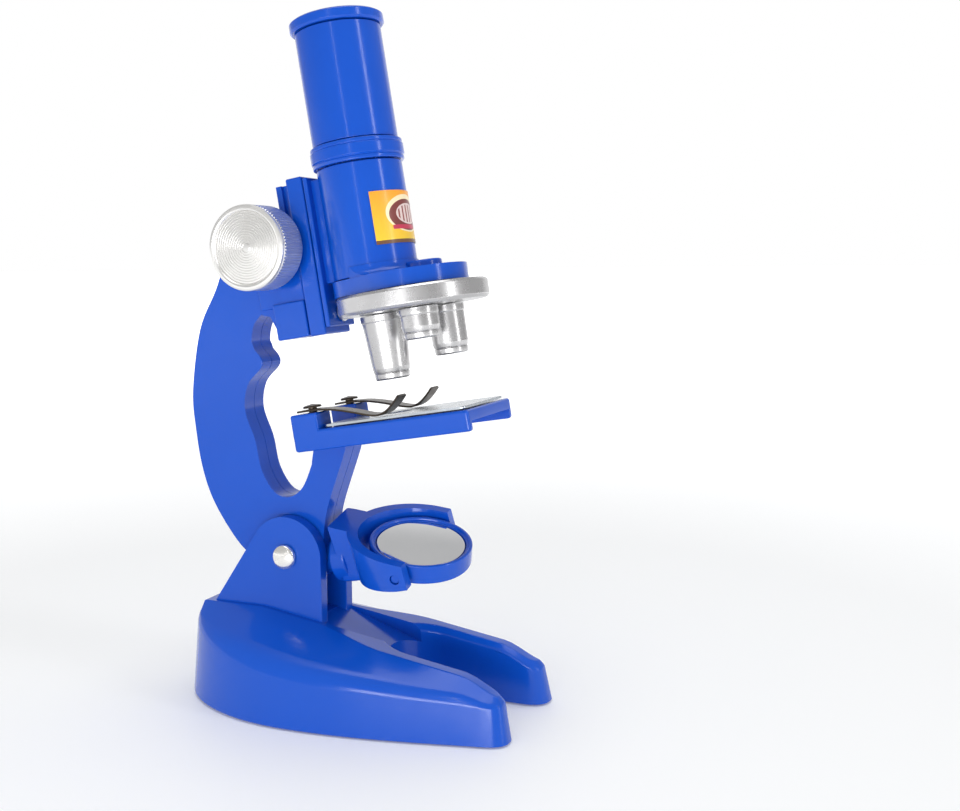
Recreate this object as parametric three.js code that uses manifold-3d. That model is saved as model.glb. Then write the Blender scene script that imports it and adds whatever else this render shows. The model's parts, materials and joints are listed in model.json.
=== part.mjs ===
// A children's compound microscope: a horseshoe base, a tilting arm of two halves, a stage with two
// spring clips, a mirror in a fork, and a rack-and-pinion focus that carries the tube and a turret of
// three objectives. Millimetres, +Z up, the open end of the horseshoe towards -Y, and the origin on
// the table under the middle of the base.
import * as THREE from 'three';
import { mergeVertices } from 'three/addons/utils/BufferGeometryUtils.js';
import Module from 'manifold-3d';

const wasm = await Module();
wasm.setup();

// ---- Driving dimensions ----------------------------------------------------------------------

const GAP = 0.3; // between pieces that rest on each other
const RUNNING_FIT = 0.1; // radial clearance of a shaft that turns

const BASE = { halfLength: 49.15, halfWidth: 27.9, widestY: 8, rimZ: 0.3, wall: 2 };
const LEG = { outerX: 20.5, innerX: 10, cornerY: -42, crotchY: -20.65, roundFrom: 36, roundTo: 47 };
const RIDGE = { slope: 0.16, heightAtMiddle: 21.56, tipDrop: 2.7, rearHeight: 25.4 };
const RIDGE_REACH = { rear: 9.8, legs: 15.2 }; // how far from the middle the roof's ridge lies
const SHOULDER = { slope: 0.115, heightAtMiddle: 15.9, tipDrop: 0.65 };
const DECK = { frontY: -13, rearY: 9, frontZ: 15.2, rearZ: 22.9, half: 8.4, clearTo: 40 };
const CHEEK = { inner: 5.1, outer: 8.55, topRadius: 10.6, rearFootY: 39.4, footZ: 20 };
const COVER = { gap: 0.7, thickness: 1.6, screwSeat: 0.9 };
const SCREW = { shank: 1.2, hole: 1.6, head: 2.5, recess: 2.8, post: 3.4 };
const SCREW_POSTS = [
  { name: 'base_screw_rear', x: 0, y: 32, top: 24.4 },
  { name: 'base_screw_left', x: -16.6, y: -30, top: 12.4 },
  { name: 'base_screw_right', x: 16.6, y: -30, top: 12.4 },
];

const PIVOT = { y: 17, z: 39.4, boltRadius: 2, boltHead: 3.3, washer: 4.4, nut: 3.9, nutHeight: 2.6 };
const TILT = THREE.MathUtils.degToRad(9.2); // how far the arm leans back at rest

// In the arm's own frame v runs rearwards and w up the optical axis, both from the pivot.
const ARM = { halfThickness: 4.6, seam: 0.1, wall: 1.8, rootRadius: 9.5 };
const ARM_SCREWS = [
  { name: 'arm_screw_lower', v: 14.6, w: 12 },
  { name: 'arm_screw_middle', v: 15.2, w: 36 },
  { name: 'arm_screw_upper', v: 7.5, w: 70 },
];
const ARM_SCREW_SEAT = 3.2; // how far the screws' seats lie from the seam
const SPINE_POCKET = [[14.8, 6.5], [14.9, 20], [15.6, 33], [14.6, 46], [9.6, 60], [5, 68]];
const HEAD = { frontV: -16.9, rearV: -3, bottomW: 56.5, topW: 86.5, half: 5.6 };
const HEAD_LEDGE = { half: 6.65, rearV: -7.4, topW: 66 };
const OPTICAL_V = -35.7;
const TUBE = { radius: 10.95, bore: 9.3, bottomW: 69, topW: 97 };
const LABEL = { reach: 56.5, bottomW: 75.8, topW: 89 };
const COLLAR = { radius: 12, topW: 102.6 };
const DRAW = { radius: 10.95, bore: 9.8, topW: 131.4, sleeveRadius: 9.2, sleeveBore: 8, sleeveW: 84 };
const EYEPIECE = { radius: 12, topW: 134.6, aperture: 5.2, skirtRadius: 9.5, skirtBore: 8.3, skirtW: 125 };
const SLIDE = { half: 6.65, rearV: -17.3, frontV: -22, bottomW: 56.3, topW: 97 };
const RAIL = { inner: 2.1, neck: 3, flange: 3.95, lipV: -14.3, tipV: -12.7, fit: 0.15 };
const CARRIER = { rearV: -22.3, frontV: -23.6, webHalf: 4.6, bottomW: 58, screwW: 61.5 };

const GEAR = { v: -10.2, w: 80.5, module: 0.8, teeth: 8, half: 1.6, shaftRadius: 1.5, shaftHalf: 16.2 };
const PITCH_RADIUS = (GEAR.module * GEAR.teeth) / 2;
const PITCH = Math.PI * GEAR.module;
const TOOTH = { root: 0.42, tip: 0.12, addendum: 0.62, dedendum: 1 }; // halves of the pitch, modules
const RACK = { half: 1.7, backV: -17, bottomW: 60, teeth: 14, root: 0.26, tip: 0.13, clearance: 0.1 };
const KNOB = { radius: 10.85, inner: 8.5, outer: 19.1, boreEnd: 16.5, dishRadius: 4.6, dishDepth: 0.5 };
const BUSH = { radius: 3.4, inner: 6.85, outer: 8.2 };

const TURRET = { v: -45, radius: 19.4, bottomW: 59.3, topW: 64.3, objectiveCircle: 9.3, sightHole: 3.2 };
const HOUSING = { bottomW: 64.7, topW: 68.7, radius: 14.8, tubeRadius: 11.6, lightHole: 5 };
const HOUSING_BOSS = { v: -49, radius: 5, topW: 70.7 };
const DETENT = { v: -50.2, ballRadius: 1.3, ballW: 65.75, coilRadius: 1.3, wire: 0.16, turns: 3 };
const DETENT_COIL = { bottomW: 67.5, height: 1.7, stepsPerTurn: 8, bore: 1.9 };
const OBJECTIVES = [
  { name: 'objective_long', turn: 0, top: 6, tip: 4.5, length: 17 },
  { name: 'objective_short', turn: 120, top: 5, tip: 4.4, length: 8 },
  { name: 'objective_middle', turn: 240, top: 5, tip: 4.3, length: 13 },
];

const STAGE = { half: 14.1, rearV: -11.8, frontV: -61.2, topW: 32.7, skirtW: 27.4, frontSkirtW: 29.9 };
const TRAY = { deck: 2.3, skin: 1.6, notchHalf: 5.2, screwV: -16, screwSeat: 1.1 };
const CLIP_BOSS = { topW: 37, frontV: -19.6, innerX: 6.6 };
const CLIP = { x: 9.8, rivetV: -16.4, width: 5, thickness: 0.5, rivetHole: 1.5 };
// Seen from the side: flat on the boss, down to the specimen slide, and curled up at the tip.
const CLIP_LINE = [[-12.8, 37.55], [-17, 37.6], [-21.5, 37.35], [-25.6, 36.6], [-29.8, 35.5],
  [-33.3, 34.5], [-36, 34.15], [-38.4, 34.9], [-40.7, 36.6], [-42.4, 38.3]];
const STAGE_SHEET = { half: 12.6, rearV: -20.4, frontV: -60, bottomW: 33, topW: 33.6, hole: 3.5 };
const LIGHT_HOLE = 4;

const MIRROR = { w: -2.6, roll: 13.5, pitch: 18.7, radius: 13.4, half: 2.5, glassRadius: 11.5 };
const TRUNNION = { radius: 1.2, reach: 16.9, hole: 1.3 };
const FORK = { inner: 14.6, outer: 17.3, tipReach: 2.8, bottom: -3.2, tipTop: 3.4, topSlope: 0.32 };
const FORK_HUB = { radius: 7, frontV: -16.5, rearV: -11.9 };
const FORK_ROOT = { half: 6.2, frontV: -20.2, rearV: -13.8, bottom: -5 };
const FORK_PIN = { frontV: -13, rearV: -5.2 };

const BLUE = { color: 0x1c3fc4, roughness: 0.28, metalness: 0 };
const SILVER = { color: 0xc9c8c4, roughness: 0.32, metalness: 0.75 };
const STEEL = { color: 0xb9bcc0, roughness: 0.35, metalness: 0.9 };
const DARK_STEEL = { color: 0x3a3836, roughness: 0.4, metalness: 0.8 };
const GLASS = { color: 0xdde8ee, roughness: 0.03, metalness: 0, transparent: true, opacity: 0.35 };
const MIRROR_GLASS = { color: 0xe8ecef, roughness: 0.03, metalness: 1 };
const WHITE = { color: 0xe9e6dc, roughness: 0.4, metalness: 0.1 };
const LABEL_PRINT = { color: 0xf2a71b, roughness: 0.45, metalness: 0 };

// ---- Solids ----------------------------------------------------------------------------------

// A closed geometry as a manifold-3d solid.
function solid(geometry) {
  const bare = geometry.clone();
  bare.deleteAttribute('normal');
  bare.deleteAttribute('uv');
  const welded = mergeVertices(bare, 1e-4);
  const vertProperties = welded.attributes.position.array;
  const triVerts = Uint32Array.from(welded.index.array);
  return new wasm.Manifold(new wasm.Mesh({ numProp: 3, vertProperties, triVerts }));
}

// A manifold-3d solid as a three.js geometry.
function geometryOf(manifold) {
  const mesh = manifold.getMesh();
  const geometry = new THREE.BufferGeometry();
  geometry.setAttribute('position', new THREE.BufferAttribute(mesh.vertProperties, 3));
  geometry.setIndex(new THREE.BufferAttribute(mesh.triVerts, 1));
  return geometry;
}

const join = (...pieces) => geometryOf(pieces.map(solid).reduce((whole, piece) => whole.add(piece)));
const cut = (body, ...tools) =>
  geometryOf(tools.map(solid).reduce((rest, tool) => rest.subtract(tool), solid(body)));

function block([x0, x1], [y0, y1], [z0, z1]) {
  const geometry = new THREE.BoxGeometry(x1 - x0, y1 - y0, z1 - z0);
  return geometry.translate((x0 + x1) / 2, (y0 + y1) / 2, (z0 + z1) / 2);
}

// A rod along x, y or z between two stations. `at` is its place across that axis.
function rod(axis, radius, [from, to], at = [0, 0], segments = 16) {
  const geometry = new THREE.CylinderGeometry(radius, radius, to - from, segments);
  const middle = (from + to) / 2;
  if (axis === 'x') {
    return geometry.rotateZ(-Math.PI / 2).translate(middle, at[0], at[1]);
  }
  if (axis === 'y') {
    return geometry.translate(at[0], middle, at[1]);
  }
  return geometry.rotateX(Math.PI / 2).translate(at[0], at[1], middle);
}

// A turned piece about z. The profile lists [radius, z] upwards on the outside, back down inside.
function turned(profile, segments = 24) {
  const points = profile.map(([radius, z]) => new THREE.Vector2(radius, z));
  return new THREE.LatheGeometry(points, segments).rotateX(Math.PI / 2);
}

// A turned ring about z between two radii and two heights.
function ring(outer, inner, [z0, z1], segments = 24) {
  return turned([[inner, z0], [outer, z0], [outer, z1], [inner, z1], [inner, z0]], segments);
}

// A shape drawn in (y, z), extruded along x between two stations.
function plateX(shape, [from, to], curveSegments = 12) {
  const options = { depth: to - from, bevelEnabled: false, curveSegments };
  const toSide = new THREE.Matrix4().makeBasis(
    new THREE.Vector3(0, 1, 0),
    new THREE.Vector3(0, 0, 1),
    new THREE.Vector3(1, 0, 0),
  );
  return new THREE.ExtrudeGeometry(shape, options).applyMatrix4(toSide).translate(from, 0, 0);
}

// A shape drawn in (x, y), extruded upwards between two heights.
function plateZ(shape, [from, to], curveSegments = 12) {
  const options = { depth: to - from, bevelEnabled: false, curveSegments };
  return new THREE.ExtrudeGeometry(shape, options).translate(0, 0, from);
}

function circleShape(radius, [x, y] = [0, 0]) {
  const shape = new THREE.Shape();
  shape.absarc(x, y, radius, 0, 2 * Math.PI);
  return shape;
}

const vectors = (points) => points.map(([a, b]) => new THREE.Vector2(a, b));

// A strip of even width whose middle follows a smooth line through the points.
function stripShape(points, halfWidth, steps) {
  const line = new THREE.SplineCurve(vectors(points));
  const sides = [1, -1].map((side) =>
    Array.from({ length: steps + 1 }, (_, i) => {
      const along = line.getTangentAt(i / steps);
      const across = new THREE.Vector2(-along.y, along.x).multiplyScalar(side * halfWidth);
      return line.getPointAt(i / steps).add(across);
    }),
  );
  return new THREE.Shape([...sides[0], ...sides[1].reverse()]);
}

// ---- The assembly's groups -------------------------------------------------------------------

const microscope = new THREE.Group();
const arm = new THREE.Group();
arm.position.set(0, PIVOT.y, PIVOT.z);
arm.rotation.x = -TILT;
microscope.add(arm);
const opticalAxis = new THREE.Group();
opticalAxis.position.y = OPTICAL_V;
arm.add(opticalAxis);

function addPart(name, geometry, finish, parent = microscope) {
  const mesh = new THREE.Mesh(geometry, new THREE.MeshStandardMaterial(finish));
  mesh.name = name;
  parent.add(mesh);
  return mesh;
}

// ---- Base ------------------------------------------------------------------------------------

// One side of the horseshoe's outline, from the rear middle round a leg to the crotch, pulled in
// by `inset` on the outside and by `inner` on the inside. Each point knows which side it is on.
function horseshoeHalf(inset, inner) {
  const rear = BASE.halfLength - inset;
  const wide = BASE.halfWidth - inset;
  const tipY = -BASE.halfLength + inset;
  const tipX = Math.max(LEG.outerX - inset, LEG.innerX + inner + 3);
  const innerX = LEG.innerX + inner;
  const back = new THREE.EllipseCurve(0, BASE.widestY, wide, rear - BASE.widestY, Math.PI / 2, 0, true);
  const flank = new THREE.CubicBezierCurve(...vectors([
    [wide, BASE.widestY],
    [wide, -10],
    [wide - 3.9, -26],
    [tipX, LEG.cornerY],
  ]));
  const outerCorner = new THREE.QuadraticBezierCurve(...vectors([
    [tipX, LEG.cornerY],
    [tipX - 1, tipY],
    [(tipX + innerX) / 2 + 0.5, tipY],
  ]));
  const innerCorner = new THREE.QuadraticBezierCurve(...vectors([
    [(tipX + innerX) / 2 - 0.5, tipY],
    [innerX, tipY],
    [innerX, LEG.cornerY],
  ]));
  const crotch = new THREE.EllipseCurve(0, LEG.crotchY, innerX, LEG.innerX + inner, 0, Math.PI / 2);
  const outside = [
    ...back.getPoints(9),
    ...flank.getPoints(6).slice(1),
    ...outerCorner.getPoints(4).slice(1),
  ];
  const inside = [...innerCorner.getPoints(4), ...crotch.getPoints(5)];
  return [
    ...outside.map((point) => ({ point, outer: true })),
    ...inside.map((point) => ({ point, outer: false })),
  ];
}

// The whole outline: the right half, then the left half mirrored and run backwards.
function horseshoe(inset, inner) {
  const right = horseshoeHalf(inset, inner);
  const left = right.slice(1, -1).reverse();
  const mirrored = left.map(({ point, outer }) => ({ point: new THREE.Vector2(-point.x, point.y), outer }));
  return [...right, ...mirrored].reverse();
}

// The legs' tops round down over their last stretch, from 0 at its start to 1 at the tip.
const tipRounding = (y) => THREE.MathUtils.smoothstep(-y, LEG.roundFrom, LEG.roundTo);
const ridgeHeight = (y) => {
  const straight = RIDGE.heightAtMiddle + RIDGE.slope * y;
  return Math.min(RIDGE.rearHeight, straight - RIDGE.tipDrop * tipRounding(y));
};
const ridgeReach = (y) =>
  THREE.MathUtils.lerp(RIDGE_REACH.legs, RIDGE_REACH.rear, THREE.MathUtils.smoothstep(y, -15, 8));
const shoulderHeight = (y) =>
  SHOULDER.heightAtMiddle + SHOULDER.slope * y - SHOULDER.tipDrop * tipRounding(y);

// A solid through stacked rings of equal point counts, closed flat at both ends.
function loft(rings) {
  const count = rings[0].length;
  const positions = rings.flat().flat();
  const faces = [];
  for (let level = 0; level < rings.length - 1; level += 1) {
    for (let i = 0; i < count; i += 1) {
      const next = (i + 1) % count;
      const [a, b] = [level * count + i, level * count + next];
      faces.push(a, b, a + count, b, b + count, a + count);
    }
  }
  const capOf = (points) => THREE.ShapeUtils.triangulateShape(vectors(points), []);
  const last = (rings.length - 1) * count;
  capOf(rings[0]).forEach(([a, b, c]) => faces.push(a, c, b));
  capOf(rings.at(-1)).forEach(([a, b, c]) => faces.push(last + a, last + b, last + c));
  const geometry = new THREE.BufferGeometry();
  geometry.setAttribute('position', new THREE.Float32BufferAttribute(positions, 3));
  geometry.setIndex(faces);
  return geometry;
}

// The horseshoe's body: drafted sides up to a shoulder, then a roof that rises to a ridge beside
// the gap between the legs. `skin` shrinks it all round, for the hollow inside.
function horseshoeBody(skin, bottom) {
  const drop = (height) => height - skin;
  const floor = horseshoe(skin, skin).map(({ point }) => [point.x, point.y, bottom]);
  const shoulder = horseshoe(skin + 1.8, skin + 0.5).map(({ point, outer }) => {
    const height = outer ? shoulderHeight(point.y) : ridgeHeight(point.y) - 1.4;
    return [point.x, point.y, drop(height)];
  });
  const brow = horseshoe(skin + 3.2, skin + 1).map(({ point, outer }) => {
    const height = outer ? shoulderHeight(point.y) + 1.4 : ridgeHeight(point.y) - 0.5;
    return [point.x, point.y, drop(Math.min(height, ridgeHeight(point.y) - 0.5))];
  });
  const ridge = horseshoe(skin + 3.2, skin + 2).map(({ point, outer }) => {
    const x = outer ? Math.sign(point.x) * Math.min(Math.abs(point.x), ridgeReach(point.y)) : point.x;
    const y = Math.min(point.y, BASE.halfLength - 7 - skin);
    return [x, y, drop(ridgeHeight(y))];
  });
  return loft([floor, shoulder, brow, ridge]);
}

// The sunken deck that slopes down between the legs, as the space above it.
function deckSpace(lower) {
  const shape = new THREE.Shape(vectors([
    [DECK.frontY, DECK.frontZ - lower],
    [DECK.rearY, DECK.rearZ - lower],
    [DECK.rearY, DECK.clearTo],
    [DECK.frontY, DECK.clearTo],
  ]));
  return plateX(shape, [-DECK.half - lower, DECK.half + lower]);
}

// A cheek's outline: a round top about the pivot, a plumb front edge and a sloping rear edge.
function cheekShape() {
  const frontY = PIVOT.y - CHEEK.topRadius;
  const shape = new THREE.Shape();
  shape.moveTo(frontY, CHEEK.footZ);
  shape.lineTo(frontY, PIVOT.z);
  shape.absarc(PIVOT.y, PIVOT.z, CHEEK.topRadius, Math.PI, 0.62, true);
  shape.lineTo(CHEEK.rearFootY, RIDGE.rearHeight);
  shape.lineTo(CHEEK.rearFootY, CHEEK.footZ);
  shape.closePath();
  return shape;
}

const ordered = (a, b) => [Math.min(a, b), Math.max(a, b)];

// A screw about z with its head up, from its tip to the top of its shank.
function screwShape(tip, seat, headHeight, steps = 12) {
  const { shank, head } = SCREW;
  return turned([
    [0, tip],
    [shank, tip],
    [shank, seat],
    [head, seat],
    [head, seat + headHeight],
    [0, seat + headHeight + 0.3],
  ], steps);
}

function addBase() {
  const hollow = cut(horseshoeBody(BASE.wall, -1), deckSpace(BASE.wall));
  const shell = cut(horseshoeBody(0, BASE.rimZ), deckSpace(0), hollow);
  const cheeks = [-1, 1].map((side) =>
    plateX(cheekShape(), ordered(side * CHEEK.inner, side * CHEEK.outer)),
  );
  const posts = SCREW_POSTS.map(({ x, y, top }) =>
    rod('z', SCREW.post, [COVER.thickness + GAP, top], [x, y]),
  );
  const pilots = SCREW_POSTS.map(({ x, y, top }) => rod('z', SCREW.hole, [0, top - 2.5], [x, y], 12));
  const boltHole = rod('x', PIVOT.boltRadius + RUNNING_FIT, [-12, 12], [PIVOT.y, PIVOT.z]);
  addPart('base_shell', cut(join(shell, ...cheeks, ...posts), ...pilots, boltHole), BLUE);

  const inset = BASE.wall + COVER.gap;
  const plan = new THREE.Shape(horseshoe(inset, inset).map(({ point }) => point));
  const recesses = SCREW_POSTS.flatMap(({ x, y }) => [
    rod('z', SCREW.hole, [-1, 3], [x, y]),
    rod('z', SCREW.recess, [-1, COVER.screwSeat], [x, y]),
  ]);
  addPart('base_cover', cut(plateZ(plan, [0, COVER.thickness]), ...recesses), BLUE);

  SCREW_POSTS.forEach(({ name, x, y }) => {
    const screw = addPart(name, screwShape(-9, -0.6, 0.15), STEEL);
    screw.rotation.x = Math.PI; // head down
    screw.position.set(x, y, 0);
  });
}

// ---- Tilt pivot ------------------------------------------------------------------------------

function addPivot() {
  const { boltRadius, boltHead, nutHeight } = PIVOT;
  const head = CHEEK.outer + GAP;
  const pivot = new THREE.Group();
  pivot.position.set(0, PIVOT.y, PIVOT.z);
  pivot.rotation.y = -Math.PI / 2; // z along the bolt, from the nut to the head
  microscope.add(pivot);
  const bolt = turned([
    [0, -12],
    [boltRadius, -12],
    [boltRadius, head],
    [boltHead, head],
    [boltHead, head + 0.7],
    [boltHead - 1, head + 1.6],
    [0, head + 1.9],
  ], 28);
  addPart('tilt_bolt', bolt, WHITE, pivot);
  addPart('tilt_nut', ring(PIVOT.nut, boltRadius + GAP, [-head - nutHeight, -head], 6), STEEL, pivot);
  const [from, to] = [ARM.halfThickness + GAP / 2, CHEEK.inner - GAP / 2];
  const washer = (stations) => ring(PIVOT.washer, boltRadius + GAP, stations);
  addPart('tilt_washer_left', washer([from, to]), STEEL, pivot);
  addPart('tilt_washer_right', washer([-to, -from]), STEEL, pivot);
}

// ---- Arm -------------------------------------------------------------------------------------

// The arm seen from the side: a curved spine with finger grips, a head above them in front, and a
// post at the foot that carries the stage. It starts and ends at the round root.
function armShape() {
  const postTop = STAGE.topW - TRAY.deck - GAP;
  const shape = new THREE.Shape();
  shape.moveTo(-10.2, 4);
  shape.splineThru(vectors([[-12.9, 11.4], [-20.2, 24.6], [-21, 27]]));
  shape.lineTo(-21, postTop);
  shape.lineTo(-12.4, postTop);
  shape.lineTo(-10.6, 23.8);
  shape.splineThru(vectors([
    [-6.4, 17.5], [-1.8, 15.2], [2.6, 16.9], [5.5, 23.2], [6, 31.5], [7.6, 39.8],
    [5.4, 46.4], [0.6, 50.2], [-0.2, 52.6], [2, 56.7], [0.6, 61.6], [-2.5, 64.3],
  ]));
  shape.lineTo(-5.2, 63.4);
  shape.lineTo(-7.1, HEAD.bottomW + 0.8);
  shape.lineTo(HEAD.frontV, HEAD.bottomW);
  shape.lineTo(HEAD.frontV, HEAD.topW);
  shape.lineTo(HEAD.rearV, HEAD.topW);
  shape.splineThru(vectors([
    [4.5, 82], [10.4, 72.9], [17.6, 63.1], [23.2, 47.3], [24.4, 36.3], [24.3, 25.2],
    [22.1, 15.2], [16.1, 3.5], [ARM.rootRadius * 0.95, -3],
  ]));
  shape.absarc(0, 0, ARM.rootRadius, -0.32, -Math.PI * 0.86, true);
  shape.closePath();
  return shape;
}

// One side of the head's wider block, which guides the slide, with a wider ledge at its foot.
function headBlocks(side) {
  const upper = ordered(side * HEAD.half, side * ARM.seam);
  const lower = ordered(side * HEAD_LEDGE.half, side * ARM.seam);
  return [
    block(upper, [HEAD.frontV, HEAD.rearV], [HEAD_LEDGE.topW - 1, HEAD.topW]),
    block(lower, [HEAD.frontV, HEAD_LEDGE.rearV], [HEAD.bottomW, HEAD_LEDGE.topW]),
  ];
}

// The spaces that the slide's rails, the pinion and its shaft need inside the head.
function headSpaces() {
  const { fit } = RAIL;
  const flange = RAIL.flange + fit;
  const neck = RAIL.neck + RUNNING_FIT;
  const gear = GEAR.half + 0.5;
  return [
    block([-neck, neck], [HEAD.frontV - 1, -13], [50, 95]),
    block([-flange, flange], [RAIL.lipV - fit, RAIL.tipV + fit + 0.1], [50, 95]),
    block([-gear, gear], [-13.5, GEAR.v + 4.2], [GEAR.w - 4.3, GEAR.w + 4.3]),
    rod('x', GEAR.shaftRadius + RUNNING_FIT, [-10, 10], [GEAR.v, GEAR.w]),
  ];
}

// The bores for the tilt bolt, the fork's pin and the stage's screw.
function armBores() {
  return [
    rod('x', PIVOT.boltRadius + RUNNING_FIT, [-9, 9], [0, 0]),
    rod('y', PIVOT.boltRadius + RUNNING_FIT, [-14, -4.4], [0, MIRROR.w]),
    rod('z', SCREW.hole, [20, 35], [0, TRAY.screwV], 12),
  ];
}

// The hollow in one half's spine, around the screws' posts.
function spinePocket(side) {
  const faces = ordered(side * (ARM.halfThickness - ARM.wall), 0);
  const posts = ARM_SCREWS.map(({ v, w }) => rod('x', 2.9, [-6, 6], [v, w], 14));
  return cut(plateX(stripShape(SPINE_POCKET, 5, 14), faces), ...posts);
}

function screwSpaces(side) {
  const outward = side > 0 ? [-1, 8] : [-3, 1];
  const holes = ARM_SCREWS.map(({ v, w }) => rod('x', SCREW.hole, outward, [v, w], 12));
  if (side < 0) {
    return holes;
  }
  return [...holes, ...ARM_SCREWS.map(({ v, w }) => rod('x', SCREW.recess, [ARM_SCREW_SEAT, 8], [v, w]))];
}

function addArmHalf(name, side) {
  const plate = plateX(armShape(), ordered(side * ARM.halfThickness, side * ARM.seam), 3);
  const mirrorBoss = cut(
    rod('y', 4.3, [-11.5, -6], [0, MIRROR.w], 20),
    block(ordered(side * ARM.seam, -side * 9), [-30, 30], [-20, 20]),
  );
  const half = join(plate, ...headBlocks(side), mirrorBoss);
  const spaces = [spinePocket(side), ...headSpaces(), ...armBores(), ...screwSpaces(side)];
  addPart(name, cut(half, ...spaces), BLUE, arm);
}

function addArm() {
  addArmHalf('arm_half_left', -1);
  addArmHalf('arm_half_right', 1);
  ARM_SCREWS.forEach(({ name, v, w }) => {
    const screw = addPart(name, screwShape(-2.6, ARM_SCREW_SEAT + GAP, 0.7), STEEL, arm);
    screw.rotation.y = Math.PI / 2; // head towards +x
    screw.position.set(0, v, w);
  });
}

// ---- Stage and clips -------------------------------------------------------------------------

// The tray without its clip bosses: a deck with a skirt that is open below and at the rear post.
function stageTray() {
  const { half, rearV, frontV, topW, skirtW, frontSkirtW } = STAGE;
  const { deck, skin, notchHalf } = TRAY;
  const inner = half - skin;
  const below = [skirtW - 1, topW - deck];
  return cut(
    block([-half, half], [frontV, rearV], [skirtW, topW]),
    block([-inner, inner], [frontV + skin, rearV - skin], below),
    block([-inner, inner], [frontV - 1, frontV + skin + 1], [skirtW - 1, frontSkirtW]),
    block([-notchHalf, notchHalf], [rearV - skin - 1, rearV + 1], below),
  );
}

function addStage() {
  const { half, rearV, topW } = STAGE;
  const bosses = [-1, 1].map((side) => {
    const across = ordered(side * CLIP_BOSS.innerX, side * half);
    return block(across, [CLIP_BOSS.frontV, rearV], [topW - 1, CLIP_BOSS.topW]);
  });
  const holes = [
    ...[-1, 1].map((side) => rod('z', 1.4, [31, 40], [side * CLIP.x, CLIP.rivetV])),
    rod('z', LIGHT_HOLE, [20, 40], [0, OPTICAL_V]),
    rod('z', SCREW.hole, [20, 40], [0, TRAY.screwV], 12),
    rod('z', SCREW.recess, [topW - TRAY.screwSeat, 40], [0, TRAY.screwV]),
  ];
  addPart('stage_plate', cut(join(stageTray(), ...bosses), ...holes), BLUE, arm);

  const { half: reach, frontV, rearV: backV, bottomW, topW: sheetTop, hole } = STAGE_SHEET;
  const sheet = block([-reach, reach], [frontV, backV], [bottomW, sheetTop]);
  addPart('stage_sheet', cut(sheet, rod('z', hole, [30, 40], [0, OPTICAL_V])), STEEL, arm);

  const screw = screwShape(21.5, topW - TRAY.screwSeat + GAP, 0.6);
  addPart('stage_screw', screw, STEEL, arm).position.y = TRAY.screwV;
}

function addClip(side, name) {
  const x = side * CLIP.x;
  const half = CLIP.width / 2;
  const blade = plateX(stripShape(CLIP_LINE, CLIP.thickness / 2, 18), [x - half, x + half]);
  const hole = rod('z', CLIP.rivetHole, [30, 45], [x, CLIP.rivetV]);
  addPart(`clip_${name}`, cut(blade, hole), DARK_STEEL, arm);
  const rivet = turned([[0, 31.4], [1.1, 31.4], [1.1, 38.2], [2.4, 38.2], [2.2, 38.8], [0, 39.2]], 20);
  addPart(`clip_rivet_${name}`, rivet, DARK_STEEL, arm).position.set(x, CLIP.rivetV, 0);
}

// ---- Mirror ----------------------------------------------------------------------------------

function addMirror() {
  const fork = new THREE.Group();
  fork.position.z = MIRROR.w;
  fork.rotation.y = -THREE.MathUtils.degToRad(MIRROR.roll);
  arm.add(fork);

  const tipV = OPTICAL_V - FORK.tipReach;
  const yoke = new THREE.Shape();
  yoke.absarc(0, OPTICAL_V, FORK.outer, 0, Math.PI);
  yoke.lineTo(-FORK.outer, tipV);
  yoke.lineTo(-FORK.inner, tipV);
  yoke.absarc(0, OPTICAL_V, FORK.inner, Math.PI, 0, true);
  yoke.lineTo(FORK.inner, tipV);
  yoke.lineTo(FORK.outer, tipV);
  yoke.closePath();
  const rearTop = FORK.tipTop + FORK.topSlope * (FORK_ROOT.rearV - tipV);
  const { half: rootHalf, frontV: rootFrontV, rearV: rootRearV, bottom: rootBottom } = FORK_ROOT;
  const body = join(
    plateZ(yoke, [FORK.bottom, rearTop], 16),
    block([-rootHalf, rootHalf], [rootFrontV, rootRearV], [rootBottom, rearTop]),
    rod('y', FORK_HUB.radius, [FORK_HUB.frontV, FORK_HUB.rearV], [0, 0], 28),
    rod('y', PIVOT.boltRadius, [FORK_PIN.frontV, FORK_PIN.rearV]),
  );
  const aboveFork = new THREE.Shape(vectors([
    [tipV, FORK.tipTop],
    [rootRearV, rearTop],
    [rootRearV, rearTop + 1],
    [tipV - 1, rearTop + 1],
    [tipV - 1, FORK.tipTop - FORK.topSlope],
  ]));
  const trunnionHole = rod('x', TRUNNION.hole, [-20, 20], [OPTICAL_V, 0], 20);
  addPart('mirror_fork', cut(body, plateX(aboveFork, [-20, 20]), trunnionHole), BLUE, fork);

  const dish = new THREE.Group();
  dish.position.y = OPTICAL_V;
  dish.rotation.x = THREE.MathUtils.degToRad(MIRROR.pitch);
  fork.add(dish);
  const { radius, half, glassRadius } = MIRROR;
  const bowl = turned([
    [0, -0.9],
    [radius - 1.8, -0.9],
    [radius - 1.5, -half],
    [radius, -half],
    [radius, half - 0.4],
    [radius - 0.4, half],
    [glassRadius + GAP, half],
    [glassRadius + GAP, 0.7],
    [0, 0.7],
  ], 32);
  const trunnions = cut(
    rod('x', TRUNNION.radius, [-TRUNNION.reach, TRUNNION.reach], [0, 0], 20),
    rod('z', radius - 1, [-3, 3], [0, 0], 32),
  );
  addPart('mirror_dish', join(bowl, trunnions), BLUE, dish);
  addPart('mirror_glass', rod('z', glassRadius, [1, 2], [0, 0], 32), MIRROR_GLASS, dish);
}

// ---- Focus drive -----------------------------------------------------------------------------

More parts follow.
